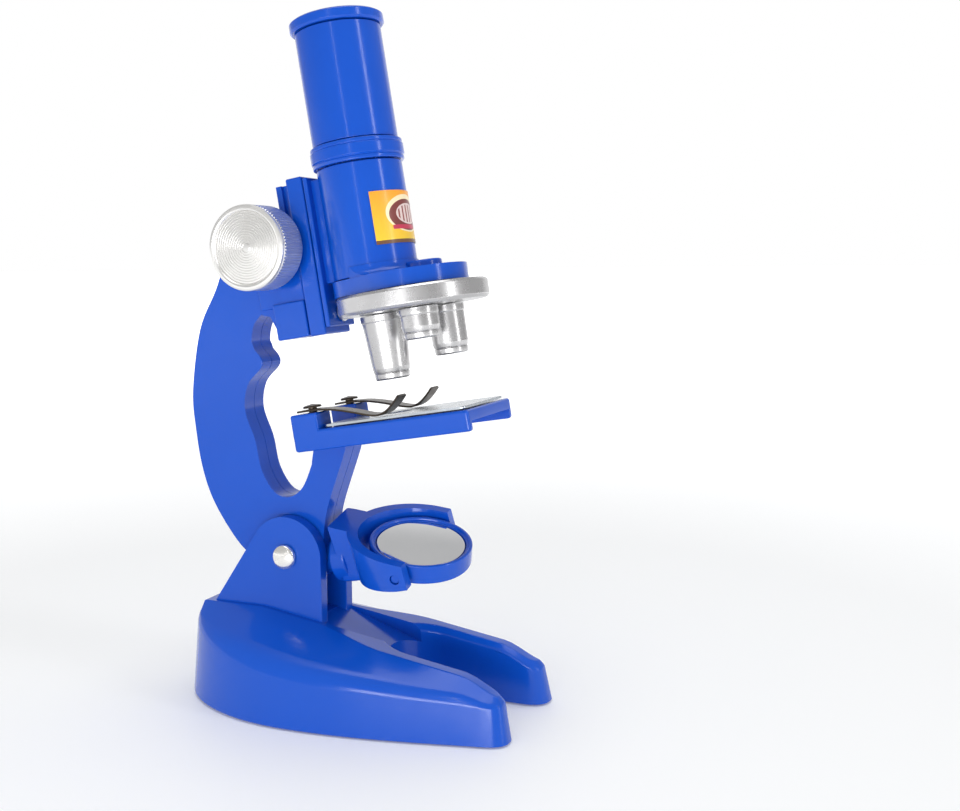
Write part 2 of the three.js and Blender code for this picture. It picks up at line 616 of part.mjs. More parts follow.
// A pinion with straight-sided teeth, one of which points at the rack.
function pinionShape() {
  const rootRadius = PITCH_RADIUS - TOOTH.dedendum * GEAR.module;
  const tipRadius = PITCH_RADIUS + TOOTH.addendum * GEAR.module;
  const points = [];
  for (let index = 0; index < GEAR.teeth; index += 1) {
    const middle = Math.PI + (index * 2 * Math.PI) / GEAR.teeth;
    const tooth = [
      [-TOOTH.root, rootRadius],
      [-TOOTH.tip, tipRadius],
      [TOOTH.tip, tipRadius],
      [TOOTH.root, rootRadius],
    ];
    tooth.forEach(([turn, radius]) => {
      const angle = middle + (turn * PITCH) / PITCH_RADIUS;
      points.push([GEAR.v + radius * Math.cos(angle), GEAR.w + radius * Math.sin(angle)]);
    });
  }
  return new THREE.Shape(vectors(points));
}

// A rack whose gap between two teeth faces the pinion's axis.
function rackShape() {
  const rootV = GEAR.v - PITCH_RADIUS - TOOTH.dedendum * GEAR.module - RACK.clearance;
  const tipV = GEAR.v - PITCH_RADIUS + TOOTH.addendum * GEAR.module;
  const shape = new THREE.Shape();
  shape.moveTo(RACK.backV, RACK.bottomW);
  shape.lineTo(rootV, RACK.bottomW);
  const first = GEAR.w - (Math.ceil((GEAR.w - RACK.bottomW) / PITCH) - 1.5) * PITCH;
  for (let tooth = 0; tooth < RACK.teeth; tooth += 1) {
    const w = first + tooth * PITCH;
    shape.lineTo(rootV, w - RACK.root * PITCH);
    shape.lineTo(tipV, w - RACK.tip * PITCH);
    shape.lineTo(tipV, w + RACK.tip * PITCH);
    shape.lineTo(rootV, w + RACK.root * PITCH);
  }
  const topW = first + (RACK.teeth - 0.5) * PITCH;
  shape.lineTo(rootV, topW);
  shape.lineTo(RACK.backV, topW);
  shape.closePath();
  return shape;
}

function addKnob(side, name) {
  const { radius, inner, outer, boreEnd, dishRadius, dishDepth } = KNOB;
  const profile = [
    [GEAR.shaftRadius + GAP, inner],
    [radius - 0.6, inner],
    [radius, inner + 0.6],
    [radius, outer - 1],
    [radius - 1, outer],
    [dishRadius, outer],
    [dishRadius - 0.4, outer - dishDepth],
    [0, outer - dishDepth],
    [0, boreEnd],
    [GEAR.shaftRadius + GAP, boreEnd],
    [GEAR.shaftRadius + GAP, inner],
  ];
  const knob = addPart(`knob_${name}`, turned(profile, 32), SILVER, arm);
  knob.position.set(0, GEAR.v, GEAR.w);
  knob.rotation.y = (side * Math.PI) / 2;
}

// One of the slide's two rails: a neck through the head's slot and a flange behind its lips.
function rail(side) {
  const along = [SLIDE.bottomW + 2, SLIDE.topW - 1];
  return [
    block(ordered(side * RAIL.inner, side * RAIL.neck), [SLIDE.rearV - 1, RAIL.lipV + 0.2], along),
    block(ordered(side * RAIL.inner, side * RAIL.flange), [RAIL.lipV, RAIL.tipV], along),
  ];
}

const carrierHole = () => rod('y', SCREW.hole, [-30, -12], [0, CARRIER.screwW], 12);

function addBush(side, name) {
  const { v, w, shaftRadius } = GEAR;
  const sleeve = ring(BUSH.radius, shaftRadius + RUNNING_FIT, [BUSH.inner, BUSH.outer]);
  const bush = addPart(`pinion_bush_${name}`, sleeve, WHITE, arm);
  bush.position.set(0, v, w);
  bush.rotation.y = (side * Math.PI) / 2;
}

function addFocusDrive() {
  const { v, w, shaftRadius, shaftHalf, half } = GEAR;
  const shaft = rod('x', shaftRadius, [-shaftHalf, shaftHalf], [v, w]);
  addPart('focus_pinion', join(plateX(pinionShape(), [-half, half]), shaft), STEEL, arm);
  [[-1, 'left'], [1, 'right']].forEach(([side, name]) => {
    addKnob(side, name);
    addBush(side, name);
  });
  addPart('focus_rack', plateX(rackShape(), [-RACK.half, RACK.half]), WHITE, arm);
  const bar = block([-SLIDE.half, SLIDE.half], [SLIDE.frontV, SLIDE.rearV], [SLIDE.bottomW, SLIDE.topW]);
  addPart('slide_bar', cut(join(bar, ...rail(-1), ...rail(1)), carrierHole()), BLUE, arm);
}

// ---- Tubes and eyepiece ----------------------------------------------------------------------

// The body tube with the flat carrier that is screwed to the slide, and the web between them.
function bodyTube() {
  const { radius, bore, bottomW, topW } = TUBE;
  const { rearV, frontV, webHalf, bottomW: carrierW } = CARRIER;
  const barrel = ring(radius, bore, [bottomW, topW], 32).translate(0, OPTICAL_V, 0);
  const carrier = block([-SLIDE.half, SLIDE.half], [frontV, rearV], [carrierW, topW - 0.6]);
  const web = block([-webHalf, webHalf], [OPTICAL_V + radius - 1, rearV - 0.5], [bottomW, topW - 1.4]);
  const boreTool = rod('z', bore, [bottomW - 1, topW + 1], [0, OPTICAL_V], 32);
  return cut(join(barrel, carrier, web), boreTool, carrierHole());
}

function addTubes() {
  const { bore, topW } = TUBE;
  addPart('body_tube', bodyTube(), BLUE, arm);
  const screw = screwShape(0.4 - SLIDE.rearV, GAP - CARRIER.frontV, 0.6);
  const carrierScrew = addPart('carrier_screw', screw, STEEL, arm);
  carrierScrew.rotation.x = Math.PI / 2; // head towards the tube
  carrierScrew.position.z = CARRIER.screwW;

  addPart('tube_collar', turned([
    [bore, topW + GAP],
    [COLLAR.radius - 0.5, topW + GAP],
    [COLLAR.radius, topW + GAP + 0.5],
    [COLLAR.radius, COLLAR.topW - 0.5],
    [COLLAR.radius - 0.5, COLLAR.topW],
    [bore, COLLAR.topW],
    [bore, topW + GAP],
  ], 32), BLUE, opticalAxis);

  const drawBottom = COLLAR.topW + GAP;
  addPart('draw_tube', turned([
    [DRAW.sleeveBore, DRAW.sleeveW],
    [DRAW.sleeveRadius, DRAW.sleeveW],
    [DRAW.sleeveRadius, drawBottom],
    [DRAW.radius, drawBottom],
    [DRAW.radius, DRAW.topW],
    [DRAW.bore, DRAW.topW],
    [DRAW.bore, drawBottom + 1.5],
    [DRAW.sleeveBore, drawBottom + 1.5],
    [DRAW.sleeveBore, DRAW.sleeveW],
  ], 32), BLUE, opticalAxis);

  addPart('tube_label', labelGeometry(), LABEL_PRINT, opticalAxis);
}

// A label wrapped round the front of the lower tube.
function labelGeometry() {
  const reach = THREE.MathUtils.degToRad(LABEL.reach);
  const front = -Math.PI / 2;
  const shape = new THREE.Shape();
  shape.absarc(0, 0, TUBE.radius + 0.3, front - reach, front + reach);
  shape.absarc(0, 0, TUBE.radius + 0.1, front + reach, front - reach, true);
  shape.closePath();
  return plateZ(shape, [LABEL.bottomW, LABEL.topW], 10);
}

// A lens bulging on both faces, about a height z.
function lens(radius, middle, edge, z) {
  return turned([
    [0, z - middle / 2],
    [radius * 0.55, z - middle * 0.38],
    [radius, z - edge / 2],
    [radius, z + edge / 2],
    [radius * 0.55, z + middle * 0.38],
    [0, z + middle / 2],
  ], 20);
}

function addEyepiece() {
  const { radius, topW, aperture, skirtRadius, skirtBore, skirtW } = EYEPIECE;
  const seat = DRAW.topW + GAP;
  addPart('eyepiece_cap', turned([
    [skirtBore, skirtW],
    [skirtRadius, skirtW],
    [skirtRadius, seat],
    [radius - 0.4, seat],
    [radius, seat + 0.4],
    [radius, topW - 0.5],
    [radius - 0.5, topW],
    [aperture + 2.6, topW],
    [aperture, topW - 1.2],
    [aperture, seat],
    [skirtBore, seat - 0.6],
    [skirtBore, skirtW],
  ], 32), BLUE, opticalAxis);
  addPart('eye_lens', lens(7.9, 3, 1.2, 129), GLASS, opticalAxis);
  addPart('lens_ring', ring(8, 6.6, [125.6, 127.4]), DARK_STEEL, opticalAxis);
  addPart('field_lens', lens(7.6, 2.6, 1, 87), GLASS, opticalAxis);
}

// ---- Turret and objectives -------------------------------------------------------------------

const objectivePlace = (turn) => {
  const angle = Math.PI / 2 + THREE.MathUtils.degToRad(turn);
  return [TURRET.objectiveCircle * Math.cos(angle), TURRET.v + TURRET.objectiveCircle * Math.sin(angle)];
};

// The outline round two circles and the straight sides between them.
function twoCircleShape(front, rear) {
  const spread = Math.asin((front.radius - rear.radius) / (rear.v - front.v));
  const shape = new THREE.Shape();
  shape.absarc(0, rear.v, rear.radius, spread, Math.PI - spread);
  shape.absarc(0, front.v, front.radius, Math.PI - spread, 2 * Math.PI + spread);
  shape.closePath();
  return shape;
}

function turretHousing() {
  const { bottomW, topW, radius, tubeRadius, lightHole } = HOUSING;
  const outline = twoCircleShape({ v: TURRET.v, radius }, { v: OPTICAL_V, radius: tubeRadius });
  const boss = cut(
    rod('z', HOUSING_BOSS.radius, [topW - 1, HOUSING_BOSS.topW], [0, HOUSING_BOSS.v], 24),
    rod('z', TUBE.radius + GAP, [topW, 80], [0, OPTICAL_V], 32),
  );
  return cut(
    join(plateZ(outline, [bottomW, topW], 14), boss),
    rod('z', lightHole, [60, 75], [0, OPTICAL_V]),
    rod('z', 1.8, [60, 68], [0, TURRET.v]),
    rod('z', DETENT_COIL.bore, [60, HOUSING_BOSS.topW - 1], [0, DETENT.v]),
  );
}

function turretDisc() {
  const { v, radius, bottomW, topW, sightHole } = TURRET;
  const disc = turned([
    [0, bottomW],
    [radius - 0.8, bottomW],
    [radius, bottomW + 0.8],
    [radius, topW - 0.5],
    [radius - 0.5, topW],
    [0, topW],
  ], 36).translate(0, v, 0);
  const sightHoles = OBJECTIVES.map(({ turn }) => rod('z', sightHole, [50, 70], objectivePlace(turn), 20));
  return cut(disc, rod('z', 1.6, [50, 70], [0, v], 20), ...sightHoles);
}

function addTurret() {
  addPart('turret_housing', turretHousing(), BLUE, arm);
  addPart('turret_disc', turretDisc(), SILVER, arm);
  const screw = turned([
    [0, 56.9],
    [2.2, 57],
    [2.9, 57.9],
    [2.9, 59],
    [1.5, 59],
    [1.5, 67.6],
    [0, 67.6],
  ], 20);
  addPart('turret_screw', screw, STEEL, arm).position.y = TURRET.v;
  addDetent();
  OBJECTIVES.forEach(addObjective);
}

// The ball and spring that hold the turret at each objective.
function addDetent() {
  const ball = new THREE.SphereGeometry(DETENT.ballRadius, 12, 8);
  addPart('detent_ball', ball, STEEL, arm).position.set(0, DETENT.v, DETENT.ballW);
  const { bottomW, height, stepsPerTurn } = DETENT_COIL;
  const steps = DETENT.turns * stepsPerTurn;
  const points = Array.from({ length: steps + 1 }, (_, i) => {
    const angle = (i / stepsPerTurn) * 2 * Math.PI;
    const x = DETENT.coilRadius * Math.cos(angle);
    const y = DETENT.coilRadius * Math.sin(angle);
    return new THREE.Vector3(x, y, (i / steps) * height);
  });
  const extrudePath = new THREE.CatmullRomCurve3(points);
  const options = { extrudePath, steps, bevelEnabled: false, curveSegments: 4 };
  const coil = new THREE.ExtrudeGeometry(circleShape(DETENT.wire), options);
  addPart('detent_spring', coil, STEEL, arm).position.set(0, DETENT.v, bottomW);
}

function addObjective({ name, turn, top, tip, length }) {
  const topW = TURRET.bottomW - GAP;
  const tipW = TURRET.bottomW - length;
  const [x, v] = objectivePlace(turn);
  const barrel = turned([
    [tip - 1.6, tipW],
    [tip - 0.3, tipW],
    [tip, tipW + 0.3],
    [tip + 0.35, tipW + 3],
    [top - 0.3, topW - 2],
    [top, topW - 1.8],
    [top, topW],
    [3.4, topW],
    [tip - 1.2, tipW + 2.4],
    [tip - 1.6, tipW + 1.2],
    [tip - 1.6, tipW],
  ], 24);
  addPart(name, barrel, SILVER, arm).position.set(x, v, 0);
  addPart(`${name}_lens`, lens(tip - 1.9, 1, 0.5, tipW + 0.9), GLASS, arm).position.set(x, v, 0);
}

// ---- Build -----------------------------------------------------------------------------------

addBase();
addPivot();
addArm();
addStage();
addClip(-1, 'left');
addClip(1, 'right');
addMirror();
addFocusDrive();
addTubes();
addEyepiece();
addTurret();

export default microscope;
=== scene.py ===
"""The looks of a toy microscope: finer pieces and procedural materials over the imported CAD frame."""
import json
import math

import bmesh
import bpy
from mathutils import Matrix, Vector


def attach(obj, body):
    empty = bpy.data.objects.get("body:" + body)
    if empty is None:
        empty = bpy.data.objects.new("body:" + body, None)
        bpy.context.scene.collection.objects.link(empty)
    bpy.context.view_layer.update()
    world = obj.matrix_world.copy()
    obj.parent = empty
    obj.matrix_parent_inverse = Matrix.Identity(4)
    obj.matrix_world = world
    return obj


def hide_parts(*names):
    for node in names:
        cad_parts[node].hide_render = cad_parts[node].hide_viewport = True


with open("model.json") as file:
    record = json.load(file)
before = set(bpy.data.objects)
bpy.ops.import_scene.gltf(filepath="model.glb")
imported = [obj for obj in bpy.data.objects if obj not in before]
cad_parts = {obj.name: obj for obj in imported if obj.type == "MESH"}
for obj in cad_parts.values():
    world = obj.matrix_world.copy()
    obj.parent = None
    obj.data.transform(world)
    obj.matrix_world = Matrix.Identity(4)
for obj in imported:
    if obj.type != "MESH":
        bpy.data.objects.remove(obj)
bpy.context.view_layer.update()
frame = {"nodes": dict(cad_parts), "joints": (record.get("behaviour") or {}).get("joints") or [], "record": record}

MM = 0.001

# ---- Frames ---------------------------------------------------------------------------------
# The arm's frame has w up the optical axis and v rearwards, both from the tilt pivot. Shapes are
# drawn in millimetres in the arm's frame, in a local frame of it, or straight in the row's frame.

JOINTS = {joint["name"]: joint for joint in frame["joints"]}
OPTICAL = Vector(JOINTS["focus_slide"]["axis"])
PIVOT = Vector(JOINTS["arm_tilt"]["pos_m"])
LEAN = math.atan2(OPTICAL.y, OPTICAL.z)
ROW = Matrix.Identity(4)
ARM = Matrix.Translation(PIVOT / MM) @ Matrix.Rotation(-LEAN, 4, "X")
OPTICAL_V = -35.7
PIVOT_Y, PIVOT_Z = 17, 39.4
PIVOT_PLACE = Matrix.Translation((0, PIVOT_Y, PIVOT_Z))


def on_arm(x=0.0, v=0.0, w=0.0):
    return ARM @ Matrix.Translation((x, v, w))


def arm_box(node):
    """Lowest and highest corner of a CAD node in the arm's frame, in millimetres."""
    inverse = ARM.inverted()
    points = [inverse @ (vertex.co / MM) for vertex in frame["nodes"][node].data.vertices]
    low = Vector(min(p[i] for p in points) for i in range(3))
    return low, Vector(max(p[i] for p in points) for i in range(3))


# ---- Outlines -------------------------------------------------------------------------------


def rounded(points, radius=0.0, segments=5):
    """A polygon with its corners rounded. A point may carry its own radius as a third value."""
    count = len(points)
    out = []
    for i, point in enumerate(points):
        here = Vector(point[:2])
        size = point[2] if len(point) > 2 else radius
        if size <= 0:
            out.append(tuple(here))
            continue
        back = Vector(points[i - 1][:2]) - here
        ahead = Vector(points[(i + 1) % count][:2]) - here
        turn = back.angle(ahead)
        reach = min(size / math.tan(turn / 2), 0.49 * back.length, 0.49 * ahead.length)
        start, end = here + back.normalized() * reach, here + ahead.normalized() * reach
        for k in range(segments + 1):
            t = k / segments
            out.append(tuple(start * (1 - t) ** 2 + here * 2 * t * (1 - t) + end * t * t))
    return out


def smooth(points, steps=8):
    """A Catmull-Rom line through points."""
    points = [Vector(p) for p in points]
    line = []
    last = len(points) - 1
    for i in range(last):
        a, b, c, d = points[max(i - 1, 0)], points[i], points[i + 1], points[min(i + 2, last)]
        for k in range(steps):
            t = k / steps
            line.append(
                0.5
                * (2 * b + (c - a) * t + (2 * a - 5 * b + 4 * c - d) * t**2 + (3 * b - a - 3 * c + d) * t**3)
            )
    return [tuple(p) for p in line + [points[-1]]]


def arc(centre, radius, start, end, steps):
    """Points on an arc, its angles in degrees."""
    angles = [math.radians(start + (end - start) * k / steps) for k in range(steps + 1)]
    return [(centre[0] + radius * math.cos(a), centre[1] + radius * math.sin(a)) for a in angles]


def bezier(controls, steps):
    """Points on a quadratic or cubic Bezier curve."""
    points = []
    for k in range(steps + 1):
        level = [Vector(c) for c in controls]
        while len(level) > 1:
            level = [a.lerp(b, k / steps) for a, b in zip(level, level[1:])]
        points.append(tuple(level[0]))
    return points


# ---- Meshes ---------------------------------------------------------------------------------


def mesh_from(bm, name, matrix):
    bmesh.ops.recalc_face_normals(bm, faces=bm.faces)
    mesh = bpy.data.meshes.new(name)
    bm.to_mesh(mesh)
    bm.free()
    mesh.transform(matrix)
    return mesh


def turned(profile, matrix, steps=112, shape=None):
    """A turned solid about z. The profile lists (radius, z) and closes on itself or on the axis."""
    bm = bmesh.new()
    rings = []
    for index, (radius, z) in enumerate(profile):
        if radius < 1e-6:
            rings.append([bm.verts.new((0, 0, z))])
            continue
        ring = []
        for k in range(steps):
            size = shape(index, k, radius, z) if shape else radius
            angle = 2 * math.pi * k / steps
            ring.append(bm.verts.new((size * math.cos(angle), size * math.sin(angle), z)))
        rings.append(ring)
    for low, high in zip(rings, rings[1:] + rings[:1]):
        for k in range(steps):
            nxt = (k + 1) % steps
            corners = [low[k % len(low)], low[nxt % len(low)], high[nxt % len(high)], high[k % len(high)]]
            corners = list(dict.fromkeys(corners))
            if len(corners) > 2:
                bm.faces.new(corners)
    return mesh_from(bm, "turned", matrix)


def plate(outline, low, high, matrix, bevel=0.0, segments=3):
    """A plate of an (x, y) outline between two heights, its rims rounded."""
    bm = bmesh.new()
    rings = [[bm.verts.new((x, y, z)) for x, y in outline] for z in (low, high)]
    count = len(outline)
    bm.faces.new(rings[0][::-1])
    bm.faces.new(rings[1])
    for k in range(count):
        nxt = (k + 1) % count
        bm.faces.new((rings[0][k], rings[0][nxt], rings[1][nxt], rings[1][k]))
    if bevel > 0:
        rims = [edge for edge in bm.edges if edge.verts[0].co.z == edge.verts[1].co.z]
        bmesh.ops.bevel(
            bm, geom=rims, offset=bevel, segments=segments, profile=0.5, affect="EDGES", clamp_overlap=True
        )
    return mesh_from(bm, "plate", matrix)


SIDEWAYS = Matrix(((0, 0, 1, 0), (1, 0, 0, 0), (0, 1, 0, 0), (0, 0, 0, 1)))


def side_plate(outline, low, high, matrix, bevel=0.0):
    """A plate of a (v, w) outline between two stations in x."""
    return plate(outline, low, high, matrix @ SIDEWAYS, bevel)


def brick(low, high, matrix, bevel=0.0):
    """A block between two corners, its edges rounded by `bevel`."""
    bm = bmesh.new()
    bmesh.ops.create_cube(bm, size=1)
    size = Vector(high) - Vector(low)
    middle = (Vector(high) + Vector(low)) / 2
    bmesh.ops.transform(
        bm, matrix=Matrix.Translation(middle) @ Matrix.Diagonal((*size, 1)), verts=bm.verts
    )
    if bevel > 0:
        bmesh.ops.bevel(bm, geom=bm.edges[:], offset=bevel, segments=3, profile=0.5, affect="EDGES")
    return mesh_from(bm, "brick", matrix)


def rod(radius, low, high, matrix, bevel=0.0, steps=48):
    """A round bar along z with rounded rims."""
    return turned(rounded([(0, low, 0), (radius, low), (radius, high), (0, high, 0)], bevel), matrix, steps)


ALONG_X = Matrix.Rotation(math.pi / 2, 4, "Y")
ALONG_V = Matrix.Rotation(-math.pi / 2, 4, "X")  # a piece's z runs towards +v


def loft(rings, matrix):
    """A solid through stacked rings of equal counts, closed at both ends."""
    bm = bmesh.new()
    levels = [[bm.verts.new(point) for point in ring] for ring in rings]
    count = len(rings[0])
    for low, high in zip(levels, levels[1:]):
        for k in range(count):
            nxt = (k + 1) % count
            bm.faces.new((low[k], low[nxt], high[nxt], high[k]))
    caps = [bm.faces.new(levels[0][::-1]), bm.faces.new(levels[-1])]
    bm.normal_update()
    bmesh.ops.triangulate(bm, faces=caps)
    return mesh_from(bm, "loft", matrix)


def combine(start, steps):
    """Joins meshes to a first one, or cuts them from it, in order, exactly."""
    target = bpy.data.objects.new("combined", start)
    bpy.context.scene.collection.objects.link(target)
    tools = []
    for operation, mesh in steps:
        tool = bpy.data.objects.new("tool", mesh)
        bpy.context.scene.collection.objects.link(tool)
        tools.append(tool)
        modifier = target.modifiers.new("combine", "BOOLEAN")
        modifier.operation = operation
        modifier.solver = "MANIFOLD"
        modifier.object = tool
    bpy.context.view_layer.update()
    graph = bpy.context.evaluated_depsgraph_get()
    mesh = bpy.data.meshes.new_from_object(target.evaluated_get(graph))
    for item in [target, *tools]:
        bpy.data.objects.remove(item)
    return mesh


def add_piece(name, mesh, body, nodes, material, sharp=32):
    """Puts a finished mesh, in millimetres, in the scene in place of its CAD nodes."""
    mesh.name = name
    mesh.transform(Matrix.Scale(MM, 4))
    mesh.materials.clear()
    mesh.materials.append(material)
    for polygon in mesh.polygons:
        polygon.material_index = 0
        polygon.use_smooth = True
    mesh.set_sharp_from_angle(angle=math.radians(sharp))
    piece = bpy.data.objects.new(name, mesh)
    bpy.context.scene.collection.objects.link(piece)
    normals = piece.modifiers.new("flat faces stay flat", "WEIGHTED_NORMAL")
    normals.keep_sharp = True
    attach(piece, body)
    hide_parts(*nodes)
    return piece


# ---- Materials ------------------------------------------------------------------------------


class Shader:
    """A node material on one principled shader, with noise helpers in object space."""

    def __init__(self, name, color, roughness, metallic=0.0, **sockets):
        self.material = bpy.data.materials.new(name)
        self.material.use_nodes = True
        self.tree = self.material.node_tree
        self.shader = self.tree.nodes["Principled BSDF"]
        self.set(base_color=(*color, 1), roughness=roughness, metallic=metallic, **sockets)
        self.place = self.add("ShaderNodeTexCoord").outputs["Object"]

    def set(self, **sockets):
        for key, value in sockets.items():
            self.shader.inputs[key.replace("_", " ").title().replace("Ior", "IOR")].default_value = value

    def add(self, kind, **settings):
        node = self.tree.nodes.new(kind)
        for key, value in settings.items():
            setattr(node, key, value)
        return node

    def link(self, source, target):
        self.tree.links.new(source, target)

    def noise(self, scale, detail=2.0, stretch=(1, 1, 1)):
        """Noise with `scale` waves per metre, stretched along the axes."""
        mapping = self.add("ShaderNodeMapping")
        mapping.inputs["Scale"].default_value = stretch
        self.link(self.place, mapping.inputs["Vector"])
        noise = self.add("ShaderNodeTexNoise")
        noise.inputs["Scale"].default_value = scale
        noise.inputs["Detail"].default_value = detail
        self.link(mapping.outputs["Vector"], noise.inputs["Vector"])
        return noise.outputs["Fac"]

    def spread(self, factor, low, high):
        """A 0 to 1 factor spread between two numbers."""
        node = self.add("ShaderNodeMapRange")
        node.inputs["From Min"].default_value = 0.3
        node.inputs["From Max"].default_value = 0.7
        node.inputs["To Min"].default_value = low
        node.inputs["To Max"].default_value = high
        self.link(factor, node.inputs["Value"])
        return node.outputs["Result"]

    def mix(self, factor, low, high):
        """A colour between two colours or colour outputs."""
        node = self.add("ShaderNodeMix", data_type="RGBA")
        for value, socket in ((low, node.inputs[6]), (high, node.inputs[7])):
            if isinstance(value, tuple):
                socket.default_value = (*value, 1)
            else:
                self.link(value, socket)
        self.link(factor, node.inputs[0])
        return node.outputs[2]

    def math(self, operation, *values):
        """A math node on numbers or outputs."""
        node = self.add("ShaderNodeMath", operation=operation)
        for value, socket in zip(values, node.inputs):
            if isinstance(value, (int, float)):
                socket.default_value = value
            else:
                self.link(value, socket)
        return node.outputs[0]

    def color(self, output):
        self.link(output, self.shader.inputs["Base Color"])

    def roughness(self, output):
        self.link(output, self.shader.inputs["Roughness"])

    def bump(self, height, distance, strength=1.0):
        """Bump of `distance` metres from a height factor."""
        node = self.add("ShaderNodeBump")
        node.inputs["Strength"].default_value = strength
        node.inputs["Distance"].default_value = distance
        self.link(height, node.inputs["Height"])
        self.link(node.outputs["Normal"], self.shader.inputs["Normal"])


def moulded_plastic(name, color, deep, roughness=0.17):
    """Glossy moulded plastic: faint flow marks, a fine orange peel and scuffed patches."""
    gloss = {"ior": 1.5, "specular_ior_level": 0.33, "coat_weight": 0.1, "coat_roughness": 0.05}
    shader = Shader(name, color, roughness, **gloss)
    flow = shader.noise(24, 3, (1, 0.35, 0.35))
    shader.color(shader.mix(shader.spread(flow, 0.0, 1.0), deep, color))
    scuffs = shader.noise(190, 3)
    shader.roughness(shader.spread(scuffs, roughness - 0.03, roughness + 0.05))
    shader.bump(shader.noise(700, 2), 0.00002, 0.25)
    return shader.material


def satin_silver(name, color, roughness=0.27, metallic=0.9):
    """Metallised plastic: bright, with a fine grain and cloudy sheen."""
    shader = Shader(name, color, roughness, metallic)
    clouds = shader.noise(60, 2)
    dull = tuple(c * 0.96 for c in color)
    shader.color(shader.mix(shader.spread(clouds, 0.0, 1.0), dull, color))
    shader.roughness(shader.spread(shader.noise(300, 3), roughness - 0.02, roughness + 0.03))
    shader.bump(shader.noise(1500, 2), 0.00001, 0.1)
    return shader.material


def brushed(name, color, roughness, stretch=(1, 0.04, 0.04)):
    """Rolled or plated metal with a grain along one way."""
    shader = Shader(name, color, roughness, 1.0)
    grain = shader.noise(3800, 3, stretch)
    dull = tuple(c * 0.8 for c in color)
    shader.color(shader.mix(shader.spread(grain, 0.0, 1.0), dull, color))
    shader.roughness(shader.spread(grain, roughness - 0.06, roughness + 0.1))
    shader.bump(grain, 0.00002, 0.5)
    return shader.material


def clear_glass():
    shader = Shader("polished_glass", (0.95, 0.98, 0.99), 0.02, ior=1.5, transmission_weight=0.95)
    shader.roughness(shader.spread(shader.noise(200, 2), 0.01, 0.05))
    return shader.material


def silvered_glass():
    shader = Shader("silvered_glass", (0.9, 0.91, 0.92), 0.03, 1.0)
    clouds = shader.spread(shader.noise(60, 3), 0.0, 1.0)
    shader.color(shader.mix(clouds, (0.86, 0.87, 0.89), (0.93, 0.93, 0.94)))
    shader.roughness(shader.spread(shader.noise(900, 3), 0.015, 0.07))
    return shader.material


def printed_vinyl():
    """The label's print: a lens-shaped sunburst with a dark stripe under it, drawn in its own map."""
    shader = Shader("printed_vinyl", (0.93, 0.55, 0.05), 0.38, coat_weight=0.3, coat_roughness=0.15)
    split = shader.add("ShaderNodeSeparateXYZ")
    shader.link(shader.add("ShaderNodeUVMap", uv_map="print").outputs["UV"], split.inputs["Vector"])
    across, up = split.outputs["X"], split.outputs["Y"]

    def ellipse(x, y, wide, high):
        dx = shader.math("DIVIDE", shader.math("SUBTRACT", across, x), wide)
        dy = shader.math("DIVIDE", shader.math("SUBTRACT", up, y), high)
        reach = shader.math("ADD", shader.math("MULTIPLY", dx, dx), shader.math("MULTIPLY", dy, dy))
        return shader.math("LESS_THAN", reach, 1.0)

    warm = shader.mix(up, (0.95, 0.62, 0.03), (0.93, 0.36, 0.02))
    glow = shader.mix(ellipse(0.5, 0.56, 0.34, 0.36), warm, (0.95, 0.8, 0.5))
    ring = shader.mix(ellipse(0.5, 0.53, 0.3, 0.3), glow, (0.2, 0.035, 0.03))
    core = shader.mix(ellipse(0.52, 0.55, 0.22, 0.2), ring, (0.78, 0.62, 0.58))
    spokes = shader.math("GREATER_THAN", shader.math("SINE", shader.math("MULTIPLY", across, 95.0)), 0.35)
    inside = shader.math("MULTIPLY", spokes, ellipse(0.52, 0.55, 0.2, 0.17))
    petals = shader.mix(inside, core, (0.3, 0.07, 0.06))
    sash = shader.math("MULTIPLY", shader.math("LESS_THAN", up, 0.34), shader.math("GREATER_THAN", up, 0.26))
    sash = shader.math("MULTIPLY", sash, ellipse(0.45, 0.3, 0.22, 0.2))
    banner = shader.mix(sash, petals, (0.55, 0.03, 0.08))
    stripe = shader.math("LESS_THAN", up, 0.07)
    shader.color(shader.mix(stripe, banner, (0.16, 0.07, 0.03)))
    shader.bump(shader.noise(900, 2), 0.00002, 0.3)
    return shader.material


BLUE = moulded_plastic("cobalt_plastic", (0.004, 0.09, 0.58), (0.003, 0.074, 0.5))
SILVER = satin_silver("satin_silver", (0.55, 0.545, 0.55))
TURNED_SILVER = satin_silver("turned_silver", (0.86, 0.85, 0.83), 0.3, 0.85)
STEEL = brushed("plated_steel", (0.68, 0.69, 0.7), 0.28)
SHEET = brushed("rolled_sheet", (0.5, 0.54, 0.58), 0.22)
DARK_STEEL = brushed("blackened_steel", (0.075, 0.06, 0.048), 0.3, (0.1, 1, 1))
NICKEL = satin_silver("bright_nickel", (0.93, 0.91, 0.87), 0.22, 0.9)
NYLON = moulded_plastic("natural_nylon", (0.83, 0.82, 0.77), (0.78, 0.77, 0.72), 0.45)
GLASS = clear_glass()
MIRROR = silvered_glass()
LABEL = printed_vinyl()

SLOT_MATERIALS = {
    "blue_plastic": BLUE,
    "silver_plastic": SILVER,
    "steel": STEEL,
    "dark_steel": DARK_STEEL,
    "bolt_nickel": NICKEL,
    "white_nylon": NYLON,
    "lens_glass": GLASS,
    "mirror_glass": MIRROR,
    "label": LABEL,
}
for part in frame["record"]["subparts"]:
    node = frame["nodes"][part["node"]]
    node.data.materials.clear()
    node.data.materials.append(SLOT_MATERIALS[part["material_slot"]])

# ---- Base -----------------------------------------------------------------------------------

HALF_LENGTH, HALF_WIDTH, WIDEST_Y = 49.15, 27.9, 8.0
LEG_OUTER, LEG_INNER, CORNER_Y, CROTCH_Y = 20.5, 10.0, -42.0, -20.65
CHEEK_RADIUS = 10.6


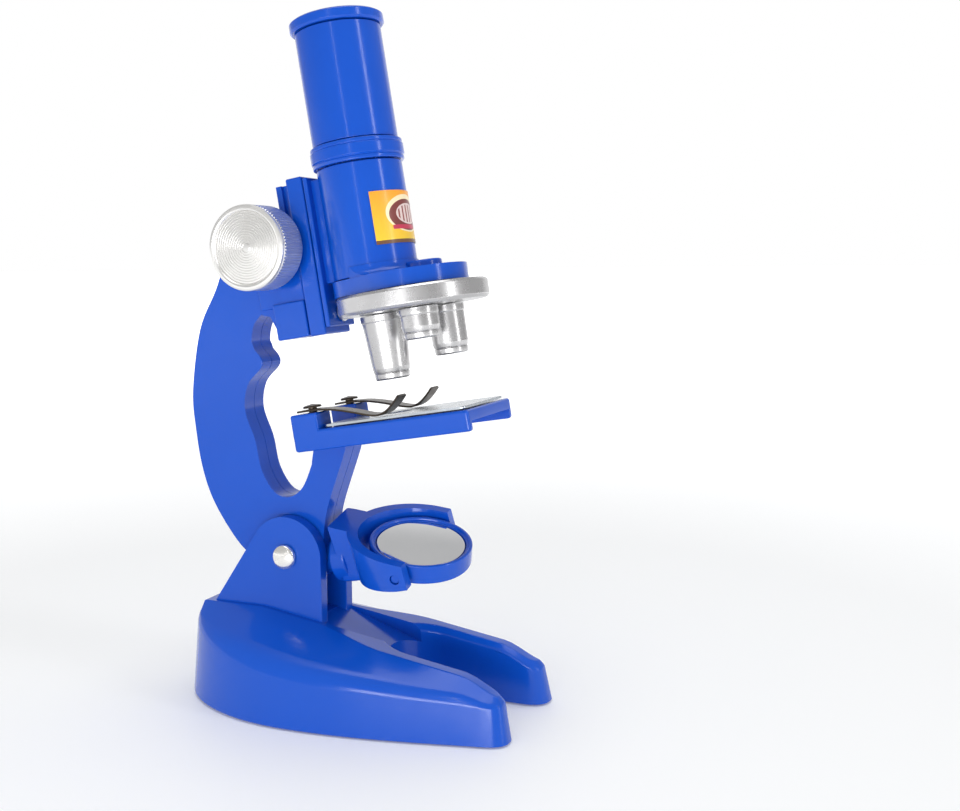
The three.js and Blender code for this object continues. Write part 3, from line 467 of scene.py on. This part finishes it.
def horseshoe_half(inset, inner):
    """One side of the base's outline, rear middle to crotch, as ((x, y), is it outside)."""
    wide, tip_y = HALF_WIDTH - inset, -HALF_LENGTH + inset
    inner_x = LEG_INNER + inner
    tip_x = max(LEG_OUTER - inset, inner_x + 3)
    rear = HALF_LENGTH - inset - WIDEST_Y
    quarter = [math.pi / 2 * k / 28 for k in range(28)]
    back = [(wide * math.sin(a), WIDEST_Y + rear * math.cos(a)) for a in quarter]
    flank = bezier([(wide, WIDEST_Y), (wide, -10), (wide - 3.9, -26), (tip_x, CORNER_Y)], 24)
    middle = (tip_x + inner_x) / 2
    outer_corner = bezier([(tip_x, CORNER_Y), (tip_x - 1, tip_y), (middle + 0.5, tip_y)], 12)[1:]
    inner_corner = bezier([(middle - 0.5, tip_y), (inner_x, tip_y), (inner_x, CORNER_Y)], 12)
    side = [(inner_x, CORNER_Y + (CROTCH_Y - CORNER_Y) * k / 8) for k in range(1, 8)]
    crotch = arc((0, CROTCH_Y), inner_x, 0, 90, 16)
    outside = [(point, True) for point in back + flank + outer_corner]
    return outside + [(point, False) for point in inner_corner + side + crotch]


def horseshoe(inset, inner):
    right = horseshoe_half(inset, inner)
    left = [((-x, y), outer) for (x, y), outer in right[1:-1][::-1]]
    return right + left


def ease(value, start, end):
    t = min(max((value - start) / (end - start), 0), 1)
    return t * t * (3 - 2 * t)


def ridge_height(y):
    return min(25.4, 21.56 + 0.16 * y - 2.7 * ease(-y, 36, 47))


def shoulder_height(y):
    return 15.9 + 0.115 * y - 0.65 * ease(-y, 36, 47)


def ridge_ring(skin, pull):
    ring = []
    for (x, y), outer in horseshoe(skin + 3.2 + pull, skin + 2 + pull):
        reach = 15.2 - pull - 5.4 * ease(y, -15, 8)
        if outer:
            x = math.copysign(min(abs(x), reach), x)
        y = min(y, HALF_LENGTH - 7 - skin - pull)
        ring.append(Vector((x, y, ridge_height(y) - skin)))
    return ring


def body_rings(skin, bottom):
    """The base's rings from the floor up, with a soft shoulder and a rounded ridge."""
    floor = [Vector((x, y, bottom)) for (x, y), _ in horseshoe(skin, skin)]
    shoulder = []
    for (x, y), outer in horseshoe(skin + 1.8, skin + 0.5):
        height = shoulder_height(y) if outer else ridge_height(y) - 1.4
        shoulder.append(Vector((x, y, height - skin)))
    ridge, crown = ridge_ring(skin, 0), ridge_ring(skin, 0.9)
    foot = [Vector((x, y, bottom)) for (x, y), _ in horseshoe(skin + 0.5, skin + 0.5)]
    low = [f.lerp(s, 0.03) for f, s in zip(floor, shoulder)]
    rings = [foot, low]
    rings += [rounding(low, shoulder, ridge, 0.28, t) for t in (0.0, 0.2, 0.4, 0.6, 0.8, 1.0)]
    rings += [rounding(shoulder, ridge, crown, 0.3, t) for t in (0.0, 0.25, 0.5, 0.75, 1.0)]
    return rings + [crown]


def rounding(before, corner, after, reach, t):
    """One ring of a soft corner between three rings."""
    out = []
    for a, b, c in zip(before, corner, after):
        size = reach * min((a - b).length, (c - b).length) if (a - b).length and (c - b).length else 0
        start, end = b + (a - b).normalized() * size, b + (c - b).normalized() * size
        out.append(start * (1 - t) ** 2 + b * 2 * t * (1 - t) + end * t * t)
    return out


def deck_space(lower):
    """The space over the sunken deck that slopes down between the legs."""
    outline = [(-16.5, 15.2 - lower - 1.225), (9, 22.9 - lower), (9, 40), (-16.5, 40)]
    return side_plate(outline, -8.4 - lower, 8.4 + lower, ROW)


def add_base():
    front_y, top_radius, rear_y, deck_z = PIVOT_Y - CHEEK_RADIUS, CHEEK_RADIUS, 39.4, 25.4
    outline = [(front_y, 20), (front_y, PIVOT_Z)]
    outline += arc((PIVOT_Y, PIVOT_Z), top_radius, 180, 35.5, 30) + [(rear_y, deck_z), (rear_y, 20)]
    cheeks = [
        side_plate(rounded([(*p, 1.2) if p[1] == deck_z else p for p in outline]), *stations, ROW, 0.7)
        for stations in ((5.1, 8.55), (-8.55, -5.1))
    ]
    hollow = combine(loft(body_rings(2, -1), ROW), [("DIFFERENCE", deck_space(2))])
    shell = combine(
        loft(body_rings(0, 0.3), ROW),
        [
            ("DIFFERENCE", deck_space(0)),
            ("DIFFERENCE", hollow),
            ("UNION", cheeks[0]),
            ("UNION", cheeks[1]),
            ("DIFFERENCE", rod(2.1, -12, 12, PIVOT_PLACE @ ALONG_X)),
        ],
    )
    add_piece("base_moulding", shell, "base", ["base_shell"], BLUE)


def add_bolt():
    centre = PIVOT_PLACE @ Matrix.Rotation(-math.pi / 2, 4, "Y")
    head = 8.85
    profile = [(0, -12, 0), (2, -12, 0.3), (2, head, 0), (3.3, head, 0.15), (3.3, head + 0.75, 0.5)]
    angles = [math.pi / 2 * k / 10 for k in range(9, -1, -1)]
    dome = [(3.25 * math.sin(a), head + 0.65 + 1.25 * math.cos(a)) for a in angles]
    outline = rounded(profile)[:-3] + dome
    slot = brick((-0.35, -4, head + 1.35), (0.35, 4, head + 3), centre @ Matrix.Rotation(0.6, 4, "Z"), 0)
    bolt = combine(turned(outline, centre, 72), [("DIFFERENCE", slot)])
    add_piece("tilt_bolt_head", bolt, "base", ["tilt_bolt"], NICKEL)


# ---- Arm ------------------------------------------------------------------------------------


def arm_outline():
    """The arm from the side, in (v, w): foot, post, finger grips, head and spine."""
    post_top = 30.1
    front = smooth([(-10.2, 4), (-12.9, 11.4), (-20.2, 24.6), (-21, 27)], 7)
    front += [(-21, post_top), (-12.4, post_top)]
    grips = smooth(
        [(-10.6, 23.8), (-6.4, 17.5), (-1.8, 15.2), (2.6, 16.9), (5.5, 23.2), (6, 31.5), (7.6, 39.8),
         (5.4, 46.4), (0.6, 50.2), (-0.2, 52.6), (2, 56.7), (0.6, 61.6), (-2.5, 64.3)], 7)
    head = [(-5.2, 63.4), (-7.1, 57.3), (-16.9, 56.5), (-16.9, 86.5), (-3, 86.5)]
    spine = smooth(
        [(-3, 86.5), (4.5, 82), (10.4, 72.9), (17.6, 63.1), (23.2, 47.3), (24.4, 36.3), (24.3, 25.2),
         (22.1, 15.2), (16.1, 3.5), (9.02, -3)], 7)[1:]
    root = arc((0, 0), 9.5, -18.3, -154.8, 20)
    return front + grips + head + spine + root[1:]


def head_spaces():
    """What the slide's rails, the pinion and its shaft need inside the head."""
    return [
        brick((-3.1, -18, 50), (3.1, -13, 95), ARM, 0),
        brick((-4.1, -14.45, 50), (4.1, -12.45, 95), ARM, 0),
        brick((-2.1, -13.5, 76.2), (2.1, -6, 84.8), ARM, 0),
        rod(1.6, -10, 10, on_arm(0, -10.2, 80.5) @ ALONG_X),
    ]


def add_arm_half(name, side):
    upper = sorted((side * 5.6, -side * 2))
    lower = sorted((side * 6.65, -side * 2.2))
    blocks = [
        brick((upper[0], -16.9, 65), (upper[1], -3, 86.5), ARM, 0.5),
        brick((lower[0], -16.92, 56.48), (lower[1], -7.4, 66), ARM, 0.5),
    ]
    boss = rod(4.3, -11.5, -6, on_arm(0, 0, FORK_W) @ ALONG_V, 0.4)
    beyond = sorted((-side * 30, side * 0.1))
    steps = [("UNION", block) for block in blocks]
    steps += [("UNION", boss), ("DIFFERENCE", brick((beyond[0], -60, -40), (beyond[1], 60, 120), ARM, 0))]
    steps += [("DIFFERENCE", space) for space in head_spaces()]
    steps += [
        ("DIFFERENCE", rod(2.1, -9, 9, ARM @ ALONG_X)),
        ("DIFFERENCE", rod(2.1, -14, -4.4, on_arm(0, 0, FORK_W) @ ALONG_V)),
    ]
    if side > 0:
        for v, w in ((14.6, 12), (15.2, 36), (7.5, 70)):
            steps.append(("DIFFERENCE", rod(2.8, 3.2, 8, on_arm(0, v, w) @ ALONG_X)))
    body = side_plate(arm_outline(), *sorted((-side * 1.5, side * 4.6)), ARM, 0.8)
    half = combine(body, steps)
    add_piece(f"arm_moulding_{name}", half, "arm", [f"arm_half_{name}"], BLUE)


# ---- Stage and clips ------------------------------------------------------------------------

CLIP_X, CLIP_V = 9.8, -16.4


def add_stage():
    half, rear, front, top, skirt, front_skirt = 14.1, -11.8, -61.2, 32.7, 27.4, 29.9
    inner, below, deck = half - 1.6, skirt - 1, top - 2.3
    outer = brick((-half, front, skirt), (half, rear, top), ARM, 0.7)
    steps = [
        ("DIFFERENCE", brick((-inner, front + 1.6, below), (inner, rear - 1.6, deck), ARM, 0)),
        ("DIFFERENCE", brick((-inner, front - 1, below), (inner, front + 2.6, front_skirt), ARM, 0.3)),
        ("DIFFERENCE", brick((-5.2, rear - 2.6, below), (5.2, rear + 1, deck), ARM, 0.3)),
    ]
    for side in (-1, 1):
        low, high = sorted((side * 6.6, side * half))
        steps.append(("UNION", brick((low, -19.6, 30.6), (high, rear, 37), ARM, 0.6)))
        steps.append(("DIFFERENCE", rod(1.4, 31, 40, on_arm(side * CLIP_X, CLIP_V))))
    steps += [
        ("DIFFERENCE", rod(4, 20, 40, on_arm(0, OPTICAL_V))),
        ("DIFFERENCE", rod(2.8, 31.6, 40, on_arm(0, -16))),
        ("DIFFERENCE", rod(1.6, 20, 40, on_arm(0, -16))),
    ]
    add_piece("stage_moulding", combine(outer, steps), "arm", ["stage_plate"], BLUE)
    low, high = arm_box("stage_sheet")
    outline = rounded([(low.x, low.y), (high.x, low.y), (high.x, high.y), (low.x, high.y)], 1.2)
    sheet = combine(
        plate(outline, low.z, high.z, ARM, 0.12, 2),
        [("DIFFERENCE", rod(3.5, 30, 40, on_arm(0, OPTICAL_V)))],
    )
    add_piece("stage_bright_sheet", sheet, "arm", ["stage_sheet"], SHEET)


CLIP_LINE = [(-12.8, 37.55), (-17, 37.6), (-21.5, 37.35), (-25.6, 36.6), (-29.8, 35.5),
             (-33.3, 34.5), (-36, 34.15), (-38.4, 34.9), (-40.7, 36.6), (-42.4, 38.3)]


def add_clip(side, name):
    """A spring clip: one bent strip from its rivet to its curled tip, with rounded ends."""
    line = [Vector(p) for p in smooth(CLIP_LINE, 8)]
    bm = bmesh.new()
    rows = []
    for i, point in enumerate(line):
        along = (line[min(i + 1, len(line) - 1)] - line[max(i - 1, 0)]).normalized()
        up = Vector((along.y, -along.x)) * 0.25
        half = 2.5 - (0.5 if i in (0, len(line) - 1) else 0)
        across = [-half, -half + 0.12, half - 0.12, half]
        lifts = [0.55, 1, 1, 0.55]
        upper, lower = (
            [bm.verts.new((side * CLIP_X + x, point.x + way * up.x * k, point.y + way * up.y * k))
             for x, k in zip(across, lifts)]
            for way in (1, -1)
        )
        rows.append(upper + lower[::-1])
    for a, b in zip(rows, rows[1:]):
        for k in range(8):
            nxt = (k + 1) % 8
            bm.faces.new((a[k], a[nxt], b[nxt], b[k]))
    bm.faces.new(rows[0])
    bm.faces.new(rows[-1][::-1])
    strip = mesh_from(bm, "strip", ARM)
    x = side * CLIP_X
    clip = combine(strip, [("DIFFERENCE", rod(1.5, 30, 45, on_arm(x, CLIP_V)))])
    add_piece(f"clip_spring_{name}", clip, f"clip_{name}", [f"clip_{name}"], DARK_STEEL)
    profile = [(0, 31.4, 0), (1.1, 31.4), (1.1, 38.2), (2.4, 38.2, 0.12), (2.35, 38.75, 0.4), (0, 39.2, 0)]
    rivet = turned(rounded(profile), on_arm(x, CLIP_V), 48)
    add_piece(f"clip_rivet_head_{name}", rivet, "arm", [f"clip_rivet_{name}"], DARK_STEEL)


# ---- Mirror ---------------------------------------------------------------------------------

ROLL, PITCH = math.radians(13.5), math.radians(18.7)
FORK_W = -2.6
FORK = on_arm(0, 0, FORK_W) @ Matrix.Rotation(-ROLL, 4, "Y")
YOKE_OUTER, YOKE_INNER, YOKE_BOTTOM = 17.3, 14.6, -3.2
TIP_V, TIP_TOP, TOP_SLOPE, ROOT_TOP = OPTICAL_V - 2.8, 3.4, 0.32, 11.3
TRUNNION_PLACE = FORK @ Matrix.Translation((0, OPTICAL_V, 0))


def above_fork():
    """The space over the fork's sloping top, which falls from its root to its tips."""
    stations = (TIP_V - 3, -10)
    slope = [(v, TIP_TOP + TOP_SLOPE * (v - TIP_V)) for v in stations]
    return side_plate(slope + [(v, 16) for v in stations[::-1]], -20, 20, FORK)


def add_mirror():
    yoke = arc((0, OPTICAL_V), YOKE_OUTER, 0, 180, 48) + [(-YOKE_OUTER, TIP_V), (-YOKE_INNER, TIP_V)]
    yoke += arc((0, OPTICAL_V), YOKE_INNER, 180, 0, 48) + [(YOKE_INNER, TIP_V), (YOKE_OUTER, TIP_V)]
    fork = combine(
        plate(yoke, YOKE_BOTTOM, ROOT_TOP, FORK, 0.5),
        [
            ("UNION", brick((-6.2, -20.2, -5), (6.2, -13.8, ROOT_TOP), FORK, 0.8)),
            ("DIFFERENCE", above_fork()),
            ("UNION", rod(7, -16.5, -11.9, FORK @ ALONG_V, 0.8, 64)),
            ("UNION", rod(2, -13, -5.2, FORK @ ALONG_V, 0.2)),
            ("DIFFERENCE", rod(1.3, -20, 20, TRUNNION_PLACE @ ALONG_X)),
        ],
    )
    add_piece("mirror_fork_moulding", fork, "fork", ["mirror_fork"], BLUE)

    dish = TRUNNION_PLACE @ Matrix.Rotation(PITCH, 4, "X")
    bowl = rounded(
        [(0, -0.9, 0), (11.6, -0.9, 0.5), (11.9, -2.5, 0.3), (13.4, -2.5, 0.4), (13.4, 2.5, 0.5),
         (12.5, 2.5, 0.3), (12.3, 1.9, 0.2), (11.8, 1.9, 0.2), (11.8, 0.7, 0.1), (0, 0.7, 0)]
    )
    pins = rod(1.2, -16.9, 16.9, dish @ ALONG_X, 0.3)
    core = rod(12.4, -3, 3, dish, 0, 96)
    trunnions = combine(pins, [("DIFFERENCE", core)])
    frame_mesh = combine(turned(bowl, dish, 128), [("UNION", trunnions)])
    add_piece("mirror_frame", frame_mesh, "mirror", ["mirror_dish"], BLUE)
    glass = rounded([(0, 1, 0), (11.5, 1, 0.1), (11.5, 1.75, 0.25), (0, 2, 0)])
    add_piece("mirror_disc", turned(glass, dish, 128), "mirror", ["mirror_glass"], MIRROR)


# ---- Focus ----------------------------------------------------------------------------------


def add_knob(side, name):
    """A knurled knob: turned rings on its face inside a raised bead, and a fine knurl round its rim."""
    teeth = 84
    face = 18.55
    profile = [(1.8, 8.5), (9.9, 8.5), (10.45, 8.75), (10.62, 9.2)]
    knurl_start = len(profile)
    profile += [(10.62, 9.6 + 7.4 * k / 4) for k in range(5)]
    knurl_end = len(profile)
    profile += [(10.62, 17.35), (10.35, 17.6), (10.35, 17.8), (10.8, 18.05), (10.85, 18.4), (10.7, 18.8),
                (10.3, 19.05), (9.8, 19.1), (9.45, 18.95), (9.25, 18.7), (9.1, face - 0.2)]
    for ring in range(12):
        radius = 8.9 - ring * 0.65
        profile += [(radius, face), (radius - 0.4, face + 0.02), (radius - 0.52, face - 0.14)]
    profile += [(0.9, face + 0.05), (0, face + 0.1), (0, 16.5), (1.8, 16.5)]

    def ridge(index, step, radius, _z):
        if knurl_start <= index < knurl_end:
            return radius + (0.18 if step % 4 in (0, 1) else -0.12)
        return radius

    place = on_arm(0, -10.2, 80.5) @ Matrix.Rotation(side * math.pi / 2, 4, "Y")
    knob = turned(profile, place, teeth * 4, ridge)
    add_piece(f"focus_knob_{name}", knob, "knobs", [f"knob_{name}"], TURNED_SILVER, 26)


def add_slide():
    bar = brick((-6.65, -22, 56.3), (6.65, -17.3, 97), ARM, 0.5)
    steps = []
    for side in (-1, 1):
        neck = sorted((side * 2.1, side * 3))
        flange = sorted((side * 2.1, side * 3.95))
        steps.append(("UNION", brick((neck[0], -18.3, 58.3), (neck[1], -14.1, 96), ARM, 0)))
        steps.append(("UNION", brick((flange[0], -14.3, 58.3), (flange[1], -12.7, 96), ARM, 0)))
    steps.append(("DIFFERENCE", rod(1.6, -30, -12, on_arm(0, 0, 61.5) @ ALONG_V)))
    add_piece("slide_block", combine(bar, steps), "tube", ["slide_bar"], BLUE)


# ---- Tubes ----------------------------------------------------------------------------------


def add_tubes():
    axis = on_arm(0, OPTICAL_V)
    barrel = rounded([(9.3, 69, 0.2), (10.95, 69, 0.3), (10.95, 97, 0.25), (9.3, 97, 0.2)])
    tube = combine(
        turned(barrel, axis, 144),
        [
            ("UNION", brick((-6.65, -23.6, 58), (6.65, -22.3, 96.4), ARM, 0.35)),
            ("UNION", brick((-4.6, OPTICAL_V + 9.9, 69), (4.6, -22.8, 95.6), ARM, 0.3)),
            ("DIFFERENCE", rod(9.3, 60, 100, axis, 0, 144)),
            ("DIFFERENCE", rod(1.6, -30, -12, on_arm(0, 0, 61.5) @ ALONG_V)),
        ],
    )
    add_piece("body_tube_moulding", tube, "tube", ["body_tube"], BLUE)

    collar = rounded(
        [(9.3, 97.3, 0.1), (11.7, 97.3, 0.3), (11.75, 98.15, 0.2), (11.55, 98.4, 0.1), (11.95, 98.75, 0.25),
         (11.95, 101.3, 0.25), (11.6, 101.55, 0.1), (11.8, 101.8, 0.2), (11.75, 102.6, 0.35),
         (9.3, 102.6, 0.1)]
    )
    add_piece("tube_collar_ring", turned(collar, axis, 144), "tube", ["tube_collar"], BLUE)

    draw = rounded(
        [(8, 84, 0.1), (9.2, 84, 0.2), (9.2, 102.9, 0), (10.95, 102.9, 0.25), (10.95, 131.4, 0.2),
         (9.8, 131.4, 0.1), (9.8, 104.4, 0), (8, 104.4, 0)]
    )
    add_piece("draw_tube_barrel", turned(draw, axis, 144), "draw_tube", ["draw_tube"], BLUE)

    cap = rounded(
        [(8.3, 125, 0.1), (9.5, 125, 0.1), (9.5, 131.7, 0), (11.55, 131.7, 0.25), (12, 132.2, 0.25),
         (12, 134.1, 0.4), (11.2, 134.6, 0.3), (8.6, 134.6, 0.4), (7.4, 133.9, 0.3), (5.2, 133.3, 0.15),
         (5.2, 131.7, 0.1), (8.3, 131.1, 0)]
    )
    add_piece("eyepiece_ring", turned(cap, axis, 144), "draw_tube", ["eyepiece_cap"], BLUE)
    add_label(axis)


def add_label(axis):
    """The label as a thin wrapped sheet, with a map of its print."""
    columns, low, high, reach = 56, 75.8, 89.0, 56.5
    angles = [math.radians(-90 - reach + 2 * reach * k / columns) for k in range(columns + 1)]
    bm = bmesh.new()
    layers = []
    for radius in (11.06, 11.22):
        ring = [(radius * math.cos(a), radius * math.sin(a)) for a in angles]
        layers.append([[bm.verts.new((x, y, w)) for x, y in ring] for w in (low, high)])
    for k in range(columns):
        for layer in layers:
            bm.faces.new((layer[0][k], layer[0][k + 1], layer[1][k + 1], layer[1][k]))
        for inside, outside in zip(*layers):
            bm.faces.new((inside[k], inside[k + 1], outside[k + 1], outside[k]))
    for end in (0, columns):
        bm.faces.new((layers[0][0][end], layers[0][1][end], layers[1][1][end], layers[1][0][end]))
    print_map = bm.loops.layers.uv.new("print")
    for face in bm.faces:
        for loop in face.loops:
            x, y, w = loop.vert.co
            turn = math.degrees(math.atan2(y, x))
            loop[print_map].uv = ((turn + 90 + reach) / (2 * reach), (w - low) / (high - low))
    label = mesh_from(bm, "label", axis)
    add_piece("tube_sticker", label, "tube", ["tube_label"], LABEL)


# ---- Turret ---------------------------------------------------------------------------------

TURRET_V = -45.0


def two_circles(front_radius, rear_radius):
    spread = math.degrees(math.asin((front_radius - rear_radius) / (OPTICAL_V - TURRET_V)))
    rear = arc((0, OPTICAL_V), rear_radius, spread, 180 - spread, 40)
    return rear + arc((0, TURRET_V), front_radius, 180 - spread, 360 + spread, 72)


def add_turret():
    axis = on_arm(0, TURRET_V)
    housing = plate(two_circles(14.8, 11.6), 64.7, 68.7, ARM, 0.55)
    flare = bezier([(14.5, 68.6), (11.6, 68.8), (11.3, 71.6)], 10)
    skirt_profile = [(10, 68), (14.6, 68), *flare, (10, 71.6)]
    skirt = combine(
        turned(skirt_profile, on_arm(0, OPTICAL_V), 112),
        [("INTERSECT", plate(two_circles(14.2, 11.1), 60, 75, ARM))],
    )
    tube_space = rod(11.25, 68.69, 80, on_arm(0, OPTICAL_V), 0, 128)
    housing = combine(
        housing,
        [
            ("UNION", rod(5, 67.7, 70.7, on_arm(0, -49), 0.6, 64)),
            ("UNION", skirt),
            ("DIFFERENCE", tube_space),
            ("DIFFERENCE", rod(5, 60, 75, on_arm(0, OPTICAL_V), 0, 64)),
            ("DIFFERENCE", rod(1.8, 60, 68, axis)),
        ],
    )
    add_piece("turret_housing_moulding", housing, "tube", ["turret_housing"], BLUE)

    disc = rounded(
        [(0, 59.3, 0), (18.7, 59.3, 0.6), (19.4, 60.1, 0.5), (19.4, 63.7, 0.4), (18.9, 64.3, 0.3),
         (0, 64.3, 0)]
    )
    holes = [("DIFFERENCE", rod(1.6, 50, 70, axis))]
    for turn in (0, 120, 240):
        holes.append(("DIFFERENCE", rod(3.2, 50, 70, objective_place(turn))))
    add_piece("turret_disc_metal", combine(turned(disc, axis, 160), holes), "turret",
              ["turret_disc"], SILVER)
    screw = rounded(
        [(0, 56.9, 0), (2.2, 57, 0.3), (2.9, 57.9, 0.2), (2.9, 59, 0.1), (1.5, 59), (1.5, 67.6, 0.2),
         (0, 67.6, 0)]
    )
    add_piece("turret_screw_head", turned(screw, axis, 64), "tube", ["turret_screw"], STEEL)


def objective_place(turn):
    angle = math.radians(90 + turn)
    return on_arm(9.3 * math.cos(angle), TURRET_V + 9.3 * math.sin(angle))


def add_objective(name, turn, top, tip, length):
    """A tapered barrel with a collar under the disc, a waist groove and a narrow end ring."""
    high, low = 59.0, 59.3 - length
    profile = rounded(
        [(tip - 1.6, low, 0.1), (tip - 0.35, low, 0.15), (tip, low + 0.35, 0.2), (tip + 0.1, low + 1.5, 0.1),
         (tip - 0.1, low + 1.7, 0.05), (tip + 0.15, low + 1.95, 0.1), (tip + 0.4, low + 3, 0.3),
         (top - 0.25, high - 1.9, 0.1), (top - 0.05, high - 1.6, 0.15), (top, high, 0.1), (3.4, high, 0),
         (tip - 1.2, low + 2.4, 0), (tip - 1.6, low + 1.2, 0)], 0.1, 3)
    barrel = turned(profile, objective_place(turn), 96)
    add_piece(f"{name}_barrel", barrel, "turret", [name], SILVER, 26)


# ---- Stage, light and camera ----------------------------------------------------------------

CAMERA = {
    "position": (-0.2732, -0.1489, 0.1160),
    "look": (0.9173, 0.3803, -0.1181),
    "roll": -0.40,
    "lens": 44.52,
}


def add_camera():
    look = Vector(CAMERA["look"]).normalized()
    right = look.cross(Vector((0, 0, 1))).normalized()
    up = right.cross(look)
    roll = math.radians(CAMERA["roll"])
    right, up = right * math.cos(roll) + up * math.sin(roll), up * math.cos(roll) - right * math.sin(roll)
    data = bpy.data.cameras.new("camera")
    data.lens = CAMERA["lens"]
    data.sensor_width = 36
    data.clip_start = 0.01
    camera = bpy.data.objects.new("camera", data)
    camera.matrix_world = Matrix.Translation(CAMERA["position"]) @ Matrix(
        (right, up, -look)
    ).transposed().to_4x4()
    bpy.context.scene.collection.objects.link(camera)
    bpy.context.scene.camera = camera


def add_floor():
    """A wide pale floor with a painted glow (white emission) that is faint near the microscope and strengthens
    away from it until it meets the white room.
    """
    bm = bmesh.new()
    bmesh.ops.create_circle(bm, cap_ends=True, radius=30, segments=96)
    mesh = mesh_from(bm, "floor", Matrix.Identity(4))
    shader = Shader("pale_floor_painted_glow", (0.86, 0.87, 0.88), 0.55, emission_color=(1, 1, 1, 1))
    shader.roughness(shader.spread(shader.noise(6, 2), 0.5, 0.65))
    reach = shader.add("ShaderNodeVectorMath", operation="LENGTH")
    shader.link(shader.place, reach.inputs[0])
    # Painted light: the floor's white emission grows from 0.14 near the microscope to 1.0 far away, standing in
    # for light on the floor.
    glow_by_distance = shader.add("ShaderNodeMapRange")
    glow_by_distance.inputs["From Min"].default_value = 0.2
    glow_by_distance.inputs["From Max"].default_value = 1.1
    glow_by_distance.inputs["To Min"].default_value = 0.14
    glow_by_distance.inputs["To Max"].default_value = 1.0
    shader.link(reach.outputs["Value"], glow_by_distance.inputs["Value"])
    shader.link(glow_by_distance.outputs["Result"], shader.shader.inputs["Emission Strength"])
    mesh.materials.append(shader.material)
    floor = bpy.data.objects.new("floor", mesh)
    bpy.context.scene.collection.objects.link(floor)


def add_light(name, place, target, size, power):
    data = bpy.data.lights.new(name, "AREA")
    data.shape = "RECTANGLE"
    data.size, data.size_y = size
    data.energy = power
    light = bpy.data.objects.new(name, data)
    aim = Vector(target) - Vector(place)
    light.matrix_world = Matrix.Translation(place) @ aim.to_track_quat("-Z", "Y").to_matrix().to_4x4()
    bpy.context.scene.collection.objects.link(light)


def add_world():
    """A dim room with a white wall behind the microscope."""
    world = bpy.data.worlds.new("studio")
    world.use_nodes = True
    tree = world.node_tree
    place = tree.nodes.new("ShaderNodeTexCoord")
    along = tree.nodes.new("ShaderNodeVectorMath")
    along.operation = "DOT_PRODUCT"
    along.inputs[1].default_value = (0.917, 0.38, 0)
    bright = tree.nodes.new("ShaderNodeMapRange")
    bright.interpolation_type = "SMOOTHSTEP"
    bright.inputs["From Min"].default_value = 0.7
    bright.inputs["From Max"].default_value = 0.82
    bright.inputs["To Min"].default_value = 0.5
    bright.inputs["To Max"].default_value = 1.0
    background = tree.nodes["Background"]
    tree.links.new(place.outputs["Generated"], along.inputs[0])
    tree.links.new(along.outputs["Value"], bright.inputs["Value"])
    tree.links.new(bright.outputs["Result"], background.inputs["Strength"])
    background.inputs["Color"].default_value = (1, 1, 1, 1)
    bpy.context.scene.world = world


def add_lights():
    middle = (0, 0, 0.09)
    add_light("low softbox", (-0.38, -0.08, 0.04), (0, 0, 0.0), (0.3, 0.06), 0.55)
    add_light("strip", (-0.75, -0.12, 0.3), middle, (0.02, 0.7), 0.3)
    add_light("front softbox", (-0.1, -0.95, 0.4), middle, (0.1, 0.8), 1.8)
    add_light("overhead", (0.0, 0.0, 1.1), middle, (0.7, 0.7), 4)
    bpy.context.scene.view_settings.view_transform = "Standard"


# ---- Build ----------------------------------------------------------------------------------

add_camera()
add_base()
add_bolt()
add_arm_half("left", -1)
add_arm_half("right", 1)
add_stage()
add_clip(-1, "left")
add_clip(1, "right")
add_mirror()
add_knob(-1, "left")
add_knob(1, "right")
add_slide()
add_tubes()
add_turret()
add_objective("objective_long", 0, 6, 4.5, 17)
add_objective("objective_short", 120, 5, 4.4, 8)
add_objective("objective_middle", 240, 5, 4.3, 13)
add_floor()
add_world()
add_lights()
